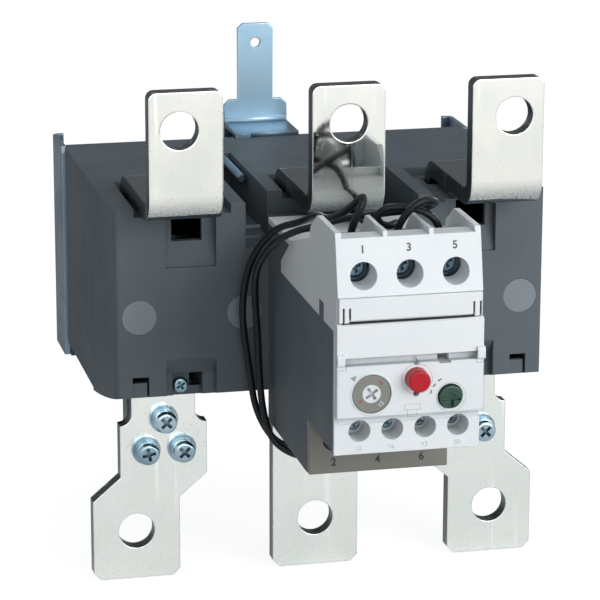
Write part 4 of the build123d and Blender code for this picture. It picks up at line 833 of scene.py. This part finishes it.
@dataclass
class Leads:
    """The three thin leads from the line terminals to the transformer block, routed in millimetres."""

    diameter: float = 2.3
    terminal_y: float = -199.8
    clamp_top: float = 34.5
    terminals: tuple[float, ...] = (-13.5, 0.8, 15.1)
    floor_entries: tuple[Point, ...] = ((-9.5, -113.0, -38.0), (-5.0, -113.0, -38.0))

    def routes(self) -> dict[str, list[Point]]:
        """Route points in millimetres, chosen along the photograph's leads."""
        left, middle, right = ((x, self.terminal_y, self.clamp_top) for x in self.terminals)
        first, second = self.floor_entries
        return {
            "lead_left": [
                left, (-13.5, -199.8, 39.6), (-12.2, -201.8, 45.4),
                (-10.0, -202.4, 50.2), (-9.2, -198.6, 51.4), (-11.0, -194.6, 47.6),
                (-14.0, -190.0, 43.6), (-16.4, -182.0, 40.2),
                (-16.6, -170.0, 39.0), (-15.9, -159.5, 35.6), (-18.6, -151.0, 31.8), (-23.6, -145.5, 29.4),
                (-26.6, -138.0, 23.6), (-29.0, -131.0, 16.0), (-31.0, -129.0, 8.0), (-31.9, -128.6, -1.0),
                (-31.4, -128.6, -10.0), (-30.0, -128.4, -19.0), (-28.9, -128.4, -27.5), (-27.7, -128.4, -35.0),
                (-25.2, -129.0, -41.6), (-21.3, -129.2, -47.4), (-16.0, -127.0, -50.8), (-11.8, -121.8, -49.8),
                (-9.7, -116.0, -45.6), (-9.5, -113.0, -40.8), first],
            "lead_middle": [
                middle, (0.8, -199.8, 39.6), (3.0, -202.2, 45.6),
                (7.2, -203.0, 49.6), (12.0, -201.0, 49.4), (14.6, -195.5, 47.0), (12.6, -190.0, 44.0),
                (6.0, -184.4, 42.2), (-2.0, -178.4, 40.0), (-9.5, -171.0, 37.4), (-15.6, -164.0, 33.6),
                (-21.0, -160.5, 31.8), (-25.6, -156.0, 28.2), (-28.0, -148.0, 22.4), (-29.2, -140.0, 15.6),
                (-28.9, -134.0, 8.0), (-28.0, -131.6, -1.0), (-27.3, -131.2, -10.0), (-27.0, -131.2, -19.0),
                (-26.6, -131.4, -27.0), (-25.9, -131.8, -34.5), (-24.6, -132.0, -41.0), (-22.4, -132.8, -46.6),
                (-17.8, -133.4, -50.4), (-12.6, -131.0, -53.2), (-8.0, -125.6, -52.4), (-5.2, -119.0, -49.0),
                (-5.0, -113.0, -43.6), second],
            "lead_right": [
                right, (15.1, -199.8, 39.0), (12.6, -200.4, 43.8),
                (8.2, -199.2, 46.2), (3.2, -197.4, 46.8), (-1.2, -196.4, 46.6), (-4.1, -195.0, 44.2),
                (-2.6, -193.6, 40.8), (1.6, -190.6, 39.2), (5.0, -185.0, 38.8), (6.4, -178.0, 37.0),
                (6.0, -168.0, 33.0), (5.2, -156.0, 30.2), (5.0, -145.0, 29.5),
                (5.0, -133.0, 29.3), (5.1, -120.0, 29.2), (5.0, -106.1, 29.3)],
        }

    def build(self, wardrobe: Wardrobe) -> None:
        """Make one smooth curve for each lead.

        Args:
            wardrobe: The finishes.
        """
        for name, route in self.routes().items():
            curve = bpy.data.curves.new(f"{name}_line", "CURVE")
            curve.dimensions = "3D"
            curve.bevel_depth = 1.0
            curve.bevel_resolution = 5
            curve.resolution_u = 8
            curve.use_fill_caps = True
            line = curve.splines.new("NURBS")
            line.points.add(len(route) - 1)
            for target, point in zip(line.points, route):
                target.co = (*mm(*point), 1.0)
                target.radius = self.diameter / 2 * MM
            line.order_u = 3
            line.use_endpoint_u = True
            piece = bpy.data.objects.new(f"{name}_sheath", curve)
            bpy.context.scene.collection.objects.link(piece)
            curve.materials.append(wardrobe.made["lead_sheath"])
            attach(piece, "case")
            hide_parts(name)
            self.length(piece)
            LOG.info("lead %s", name)

    @staticmethod
    def length(piece: bpy.types.Object) -> float:
        """Measure a lead along its line.

        Args:
            piece: The lead's curve object.

        Returns:
            The length in metres.
        """
        depth = piece.data.bevel_depth
        piece.data.bevel_depth = 0.0
        mesh = bpy.data.meshes.new_from_object(piece)
        piece.data.bevel_depth = depth
        points = [vertex.co.copy() for vertex in mesh.vertices]
        bpy.data.meshes.remove(mesh)
        return sum((b - a).length for a, b in zip(points, points[1:]))


class Facing(Enum):
    """Turn of a flat mark: which way it is read from, in degrees about X."""

    FRONT = 90.0
    SLOPED_FRONT = 78.2


@dataclass(frozen=True)
class Number:
    """One printed or embossed number."""

    name: str
    text: str
    place: Point
    size: float
    slot: str
    facing: Facing = Facing.FRONT
    height: float = 0.03
    weight: float = 0.04
    turn: float = 0.0
    body: str = "case"


@dataclass
class Marks:
    """Plain numbers and pointers on the relay's front."""

    poles: tuple[float, ...] = (-13.5, 0.8, 15.1)
    auxiliaries: tuple[float, ...] = (-14.1, -3.8, 6.5, 16.8)
    face: float = -219.0
    foot_face: float = -215.6
    dial: tuple[float, float] = (-11.25, -5.25)
    reset: tuple[float, float] = (13.3, -7.5)
    pointer: Profile = ((-17.92, 0.14), (-15.92, 0.88), (-16.48, -1.23))
    arc_radii: tuple[float, float] = (6.1, 6.55)
    arc_starts: tuple[float, ...] = (170.0, 149.0, 128.0)
    arc_length: float = 11.0
    print_height: float = 0.03

    def numbers(self) -> list[Number]:
        """List the numbers, with places in millimetres."""
        x, z = self.dial
        front = self.face
        listed = [Number(f"line_number_{n}", str(n), (pole, -215.33, 38.7), 3.3, "ink_dark", Facing.SLOPED_FRONT,
                         weight=0.08)
                  for n, pole in zip((1, 3, 5), self.poles)]
        listed += [Number(f"load_number_{n}", str(n), (pole - 0.4, -182.1, -38.6), 3.6, "ink_black", weight=0.05)
                   for n, pole in zip((2, 4, 6), self.poles)]
        listed += [Number(f"auxiliary_number_{n}", str(n), (place, self.foot_face, -23.3), 2.3, "white_moulding",
                          height=0.16) for n, place in zip((95, 96, 97, 98), self.auxiliaries)]
        listed += [
            Number("dial_number_low", "4", (x - 3.5, front, z - 2.2), 1.7, "ink_red", turn=-58.0, body="dial"),
            Number("dial_number_mid", "8", (x + 2.9, front, z + 3.3), 1.7, "ink_red", turn=40.0, body="dial"),
            Number("dial_number_tick", "1", (x - 2.3, front, z + 3.6), 1.3, "ink_red", turn=-30.0, body="dial"),
            Number("dial_number_scale", "12", (x + 2.9, front, z - 3.3), 1.9, "ink_white", turn=42.0,
                   body="dial"),
        ]
        return listed

    def build(self, wardrobe: Wardrobe) -> None:
        """Make the numbers, the dial's pointer and the arc between the two buttons.

        Args:
            wardrobe: The finishes.
        """
        for number in self.numbers():
            self.number(number, wardrobe)
        self.flat("dial_pointer", self.pointer, "ink_grey", wardrobe)
        x, z = self.reset
        inner, outer = self.arc_radii
        for step, angle in enumerate(self.arc_starts):
            start, end = math.radians(angle), math.radians(angle - self.arc_length)
            corners = [(x + r * math.cos(a), z + r * math.sin(a))
                       for r, a in ((inner, start), (outer, start), (outer, end), (inner, end))]
            self.flat(f"mode_arc_{step}", corners, "ink_dark", wardrobe)
        LOG.info("marks")

    def number(self, number: Number, wardrobe: Wardrobe) -> None:
        """Set one number as raised text.

        Args:
            number: What it says, and where.
            wardrobe: The finishes.
        """
        curve = bpy.data.curves.new(number.name, "FONT")
        curve.body = number.text
        curve.size = number.size * MM
        curve.align_x = "CENTER"
        curve.align_y = "CENTER"
        curve.extrude = number.height * MM
        curve.offset = number.weight * MM
        writing = bpy.data.objects.new(f"{number.name}_writing", curve)
        mesh = bpy.data.meshes.new_from_object(writing)
        mesh.name = number.name
        bpy.data.objects.remove(writing)
        bpy.data.curves.remove(curve)
        upright = Matrix.Rotation(math.radians(number.facing.value), 4, "X")
        turned = Matrix.Rotation(math.radians(-number.turn), 4, "Y")
        mesh.transform(Matrix.Translation(mm(*number.place)) @ turned @ upright)
        wardrobe.put(number.name, mesh, number.slot, number.body)

    def flat(self, name: str, corners: Profile, slot: str, wardrobe: Wardrobe) -> None:
        """Print a small filled outline on the lower cover's face.

        Args:
            name: The piece's name.
            corners: X and Z of each corner in millimetres.
            slot: The finish.
            wardrobe: The finishes.
        """
        build = bmesh.new()
        front = [build.verts.new(mm(x, self.face - self.print_height, z)) for x, z in corners]
        back = [build.verts.new(mm(x, self.face + 0.05, z)) for x, z in corners]
        build.faces.new(front)
        build.faces.new(back[::-1])
        for n, (a, b) in enumerate(zip(front, back)):
            after = (n + 1) % len(front)
            build.faces.new((a, b, back[after], front[after]))
        wardrobe.put(name, finish_mesh(name, build), slot)


@dataclass
class Bracket:
    """The fixing bracket: a standing tab with cut corners, a bend, a shelf and its lip."""

    thickness: float = 1.6
    tab_half: float = 6.6
    tab_top: float = 69.8
    cut: float = 1.9
    shoulder_half: float = 11.7
    shoulder_top: float = 41.8
    shelf_low: float = 32.0
    shelf_front: float = -21.5
    lip_right: float = -6.3
    lip_front: float = -23.1
    lip_low: float = 29.8
    bend_radius: float = 1.4
    hole_height: float = 62.7
    hole_radius: float = 1.8
    rounding: float = 0.14

    def build(self, wardrobe: Wardrobe) -> None:
        """Join the tab, the bend, the shelf and the lip to one piece.

        Args:
            wardrobe: The finishes.
        """
        half, mid, top = self.shoulder_half, self.tab_half, self.tab_top
        tab = [(-half, self.shelf_low), (-half, self.shoulder_top - self.cut),
               (-half + self.cut, self.shoulder_top), (-mid, self.shoulder_top), (-mid, top - self.cut),
               (-mid + self.cut, top), (mid - self.cut, top), (mid, top - self.cut), (mid, self.shoulder_top),
               (half - self.cut, self.shoulder_top), (half, self.shoulder_top - self.cut),
               (half, self.shelf_low)]
        hole = [(self.hole_radius * math.cos(math.tau * n / 32),
                 self.hole_height + self.hole_radius * math.sin(math.tau * n / 32)) for n in range(32)]
        shelf = [(-half, self.shelf_front), (half, self.shelf_front), (half, -0.4), (-half, -0.4)]
        lip = [(-half, self.lip_low), (self.lip_right, self.lip_low),
               (self.lip_right, self.shelf_low + self.thickness), (-half, self.shelf_low + self.thickness)]
        build = bmesh.new()
        standing = Matrix.Rotation(math.radians(90), 4, "X")
        self.plate(build, [tab, hole], Matrix.Translation(mm(0, -self.thickness / 2, 0)) @ standing)
        self.plate(build, [shelf], Matrix.Translation(mm(0, 0, self.shelf_low + self.thickness / 2)))
        self.plate(build, [lip],
                   Matrix.Translation(mm(0, (self.lip_front + self.shelf_front) / 2, 0)) @ standing)
        self.bend(build)
        mesh = bpy.data.meshes.new("bracket")
        build.to_mesh(mesh)
        build.free()
        piece = wardrobe.put("bracket", mesh, "zinc_blue")
        # the shelf takes the darker copy of the zinc, as painted shade
        mesh.materials.append(wardrobe.made["zinc_shelf_in_painted_shade"])
        for side in mesh.polygons:
            side.material_index = int(side.center.z < (self.shelf_low + self.thickness + 0.1) * MM)
        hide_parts("mounting_tab")
        LOG.info("bracket")

    def plate(self, build: bmesh.types.BMesh, outlines: list[list[tuple[float, float]]], place: Matrix) -> None:
        """Add a flat plate with softened edges.

        Args:
            build: The mesh being built.
            outlines: The outer outline and any hole, in millimetres.
            place: Where the plate's middle plane goes.
        """
        curve = bpy.data.curves.new("plate_outline", "CURVE")
        curve.dimensions = "2D"
        curve.fill_mode = "BOTH"
        curve.extrude = (self.thickness / 2 - self.rounding) * MM
        curve.bevel_depth = self.rounding * MM
        curve.bevel_resolution = 2
        curve.offset = -self.rounding * MM
        for outline in outlines:
            line = curve.splines.new("POLY")
            line.points.add(len(outline) - 1)
            line.use_cyclic_u = True
            for target, point in zip(line.points, outline):
                target.co = (*mm(*point), 0.0, 1.0)
        holder = bpy.data.objects.new("plate_outline", curve)
        flat = bpy.data.meshes.new_from_object(holder)
        flat.transform(place)
        build.from_mesh(flat)
        bpy.data.objects.remove(holder)
        bpy.data.curves.remove(curve)
        bpy.data.meshes.remove(flat)

    def bend(self, build: bmesh.types.BMesh) -> None:
        """Add the hollow of the bend between the tab and the shelf.

        Args:
            build: The mesh being built.
        """
        face, top, r = -self.thickness, self.shelf_low + self.thickness, self.bend_radius
        profile = [(face - r + r * math.cos(a), top + r + r * math.sin(a))
                   for a in (-math.pi / 2 * n / 8 for n in range(9))] + [(face + 0.2, top - 0.2)]
        ends = [[build.verts.new(mm(x, y, z)) for y, z in profile]
                for x in (-self.shoulder_half + self.rounding, self.shoulder_half - self.rounding)]
        for n in range(len(profile)):
            after = (n + 1) % len(profile)
            strip = build.faces.new((ends[0][n], ends[0][after], ends[1][after], ends[1][n]))
            strip.smooth = n < 8
        caps = [build.faces.new(ends[0]), build.faces.new(ends[1][::-1])]
        strips = {face for corner in ends[0] for face in corner.link_faces}
        bmesh.ops.recalc_face_normals(build, faces=list(strips.union(caps)))


@dataclass
class GapLiner:
    """A dark sheet of painted shade on the lower cover's top, seen in the gap under the marking strip."""

    left: float = -20.6
    right: float = 21.9
    front: float = -218.75
    back: float = -215.4
    floor: float = 16.8
    thickness: float = 0.06
    steps: int = 12

    def build(self, wardrobe: Wardrobe) -> None:
        """Make the sheet of painted shade, a little narrower at its right end.

        Args:
            wardrobe: The finishes.
        """
        build = bmesh.new()
        rows = []
        for step in range(self.steps + 1):
            share = step / self.steps
            x = self.left + (self.right - self.left) * share
            front = self.front + 0.5 * share ** 4
            rows.append([build.verts.new(mm(x, y, z)) for y, z in (
                (front, self.floor), (front, self.floor + self.thickness),
                (self.back, self.floor + self.thickness), (self.back, self.floor))])
        for row, following in zip(rows, rows[1:]):
            for n in range(4):
                build.faces.new((row[n], following[n], following[(n + 1) % 4], row[(n + 1) % 4]))
        build.faces.new(rows[0])
        build.faces.new(rows[-1][::-1])
        # a sheet of painted shade in the black print finish
        wardrobe.put("strip_gap_painted_shade", finish_mesh("strip_gap_painted_shade", build), "ink_black")
        LOG.info("gap painted shade")


@dataclass
class Collars:
    """A thin raised ring round the dial, and a lead's grommet; profiles give radius and depth."""

    steps: int = 72
    dial_centre: Point = (-11.25, -219.0, -5.25)
    dial_profile: Profile = ((6.12, 0.6), (6.12, -0.2), (6.25, -0.26), (6.5, -0.26), (6.7, -0.14), (6.8, 0.05),
                             (6.8, 0.6))
    grommet_centre: Point = (5.0, -106.0, 29.3)
    grommet_profile: Profile = ((1.18, 0.3), (1.18, -1.3), (1.4, -1.5), (1.9, -1.3), (2.2, -0.6), (2.2, 0.3))

    def build(self, wardrobe: Wardrobe) -> None:
        """Turn each ring.

        Args:
            wardrobe: The finishes.
        """
        self.ring("dial_collar", self.dial_centre, self.dial_profile, "white_moulding", wardrobe)
        self.ring("lead_right_grommet", self.grommet_centre, self.grommet_profile, "rubber", wardrobe)

    def ring(self, name: str, centre: Point, profile: Profile, slot: str, wardrobe: Wardrobe) -> None:
        """Turn a profile round an axis along Y.

        Args:
            name: The piece's name.
            centre: Centre in millimetres.
            profile: Radius and depth of each corner in millimetres.
            slot: The finish.
            wardrobe: The finishes.
        """
        build = bmesh.new()
        rows = []
        for step in range(self.steps):
            angle = math.tau * step / self.steps
            rows.append([build.verts.new(mm(centre[0] + r * math.cos(angle), centre[1] + d,
                                            centre[2] + r * math.sin(angle))) for r, d in profile])
        for step, row in enumerate(rows):
            following = rows[(step + 1) % self.steps]
            for n in range(len(profile)):
                after = (n + 1) % len(profile)
                build.faces.new((row[n], following[n], following[after], row[after]))
        mesh = finish_mesh(name, build)
        mesh.shade_smooth()
        wardrobe.put(name, mesh, slot)
        LOG.info("collar %s", name)


@dataclass(frozen=True)
class Lamp:
    """One square soft lamp, aimed at the object."""

    name: str
    place: Point
    power: float
    size: float = 1.0
    aim: Point = (0.0, -0.1, 0.0)

    def build(self) -> None:
        """Hang the lamp."""
        data = bpy.data.lights.new(self.name, "AREA")
        data.size = self.size
        data.energy = self.power
        lamp = bpy.data.objects.new(self.name, data)
        lamp.location = self.place
        lamp.rotation_euler = (Vector(self.aim) - Vector(self.place)).to_track_quat("-Z", "Y").to_euler()
        bpy.context.scene.collection.objects.link(lamp)


@dataclass
class Studio:
    """Pale floor, soft lamps and the camera at the photograph's angle."""

    camera_place: Point = mm(-225.0, -1046.7, 257.0)
    camera_aim: Point = mm(-10.963, -122.0, -1.764)
    roll: float = 0.12
    lens: float = 178.4
    floor_height: float = -104.2 * MM
    lamps: tuple[Lamp, ...] = (Lamp("Key", (0.7, -1.35, 0.45), 12.6), Lamp("Front fill", (-0.1, -1.5, 0.0), 6.8),
                               Lamp("Top", (-0.1, -0.35, 1.25), 0.6))
    floor_half: float = 3.0
    floor_tone: float = 0.36
    floor_glow: float = 0.88
    mirror_glow: float = 0.6
    rear_glow: float = 0.12
    sky: float = 0.36
    sky_tint: Colour = (0.93, 0.98, 1.03)
    back_dim: float = 0.75

    def build(self) -> None:
        """Set the camera, the lamps, the floor, the world and the plain display curve."""
        bpy.context.scene.view_settings.view_transform = "Standard"
        self.camera()
        for lamp in self.lamps:
            lamp.build()
        self.floor()
        self.world()

    def camera(self) -> None:
        """Aim the camera with its small roll."""
        data = bpy.data.cameras.new("Camera")
        data.lens = self.lens
        data.sensor_width = 36.0
        data.clip_end = 20.0
        camera = bpy.data.objects.new("Camera", data)
        place, aim = Vector(self.camera_place), Vector(self.camera_aim)
        look = (aim - place).to_track_quat("-Z", "Y").to_matrix().to_4x4()
        camera.matrix_world = Matrix.Translation(place) @ look @ Matrix.Rotation(math.radians(self.roll), 4, "Z")
        bpy.context.scene.collection.objects.link(camera)
        bpy.context.scene.camera = camera

    def floor(self) -> None:
        """A broad pale floor that shows white to the camera and in reflections, with a soft shadow."""
        mesh = bpy.data.meshes.new("floor")
        half = self.floor_half
        mesh.from_pydata([(-half, -half, 0), (half, -half, 0), (half, half, 0), (-half, half, 0)], [],
                         [(0, 1, 2, 3)])
        floor = add_piece("floor", mesh)
        floor.location.z = self.floor_height
        floor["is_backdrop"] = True
        material = bpy.data.materials.new("Pale floor")
        material.use_nodes = True
        sheet = Sheet(material.node_tree)
        shader = material.node_tree.nodes["Principled BSDF"]
        shader.inputs["Base Color"].default_value = (*[self.floor_tone] * 3, 1.0)
        shader.inputs["Roughness"].default_value = 0.9
        shader.inputs["Specular IOR Level"].default_value = 0.0
        shader.inputs["Emission Color"].default_value = (1.0, 1.0, 1.0, 1.0)
        path = sheet.node("ShaderNodeLightPath").outputs
        rear = sheet.spread(sheet.axes()["Y"], -0.1, 0.12, self.mirror_glow, self.rear_glow)
        shown = sheet.math("MULTIPLY", self.mirrored(sheet, path), rear)
        straight = sheet.math("MULTIPLY", path["Is Camera Ray"], self.floor_glow)
        sheet.link(sheet.math("MAXIMUM", straight, shown), shader.inputs["Emission Strength"])
        mesh.materials.append(material)

    @staticmethod
    def mirrored(sheet: Sheet, path: bpy.types.NodeOutputs) -> bpy.types.NodeSocket:
        """Mark the rays by which the background is seen in metal and clear pieces.

        Args:
            sheet: The drawing board.
            path: Outputs of the light path node.

        Returns:
            A socket with 1 for those rays and 0 for the rest.
        """
        return sheet.math("MAXIMUM", path["Is Glossy Ray"], path["Is Transmission Ray"])

    def world(self) -> None:
        """A soft sky that is white where it is seen, and dimmer behind the object in reflections."""
        world = bpy.data.worlds.new("Studio")
        bpy.context.scene.world = world
        world.use_nodes = True
        sheet = Sheet(world.node_tree)
        ground = world.node_tree.nodes["Background"]
        path = sheet.node("ShaderNodeLightPath").outputs
        seen = sheet.math("MAXIMUM", path["Is Camera Ray"], self.mirrored(sheet, path))
        sheet.link(sheet.mix(seen, self.sky_tint, (1.0, 1.0, 1.0)), ground.inputs["Color"])
        behind = sheet.spread(sheet.axes("Generated")["Y"], 0.3, 0.75)
        dim = sheet.math("MULTIPLY", sheet.math("MULTIPLY", behind, path["Is Glossy Ray"]), self.back_dim)
        plain = sheet.spread(seen, 0.0, 1.0, self.sky, 1.0)
        sheet.link(sheet.math("SUBTRACT", plain, dim), ground.inputs["Strength"])


def box_of_scene() -> list[list[float]]:
    bpy.context.view_layer.update()
    return [list(corner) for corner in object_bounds()]


def main() -> None:
    """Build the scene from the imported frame."""
    logging.basicConfig(level=logging.INFO)
    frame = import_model()
    sizes = {"cad": box_of_scene()}
    wardrobe = Wardrobe()
    wardrobe.build()
    wardrobe.dress_frame(frame)
    Leads().build(wardrobe)
    Collars().build(wardrobe)
    GapLiner().build(wardrobe)
    Bracket().build(wardrobe)
    Marks().build(wardrobe)
    Studio().build()
    sizes["visual"] = box_of_scene()


if __name__ == "__main__":
    main()
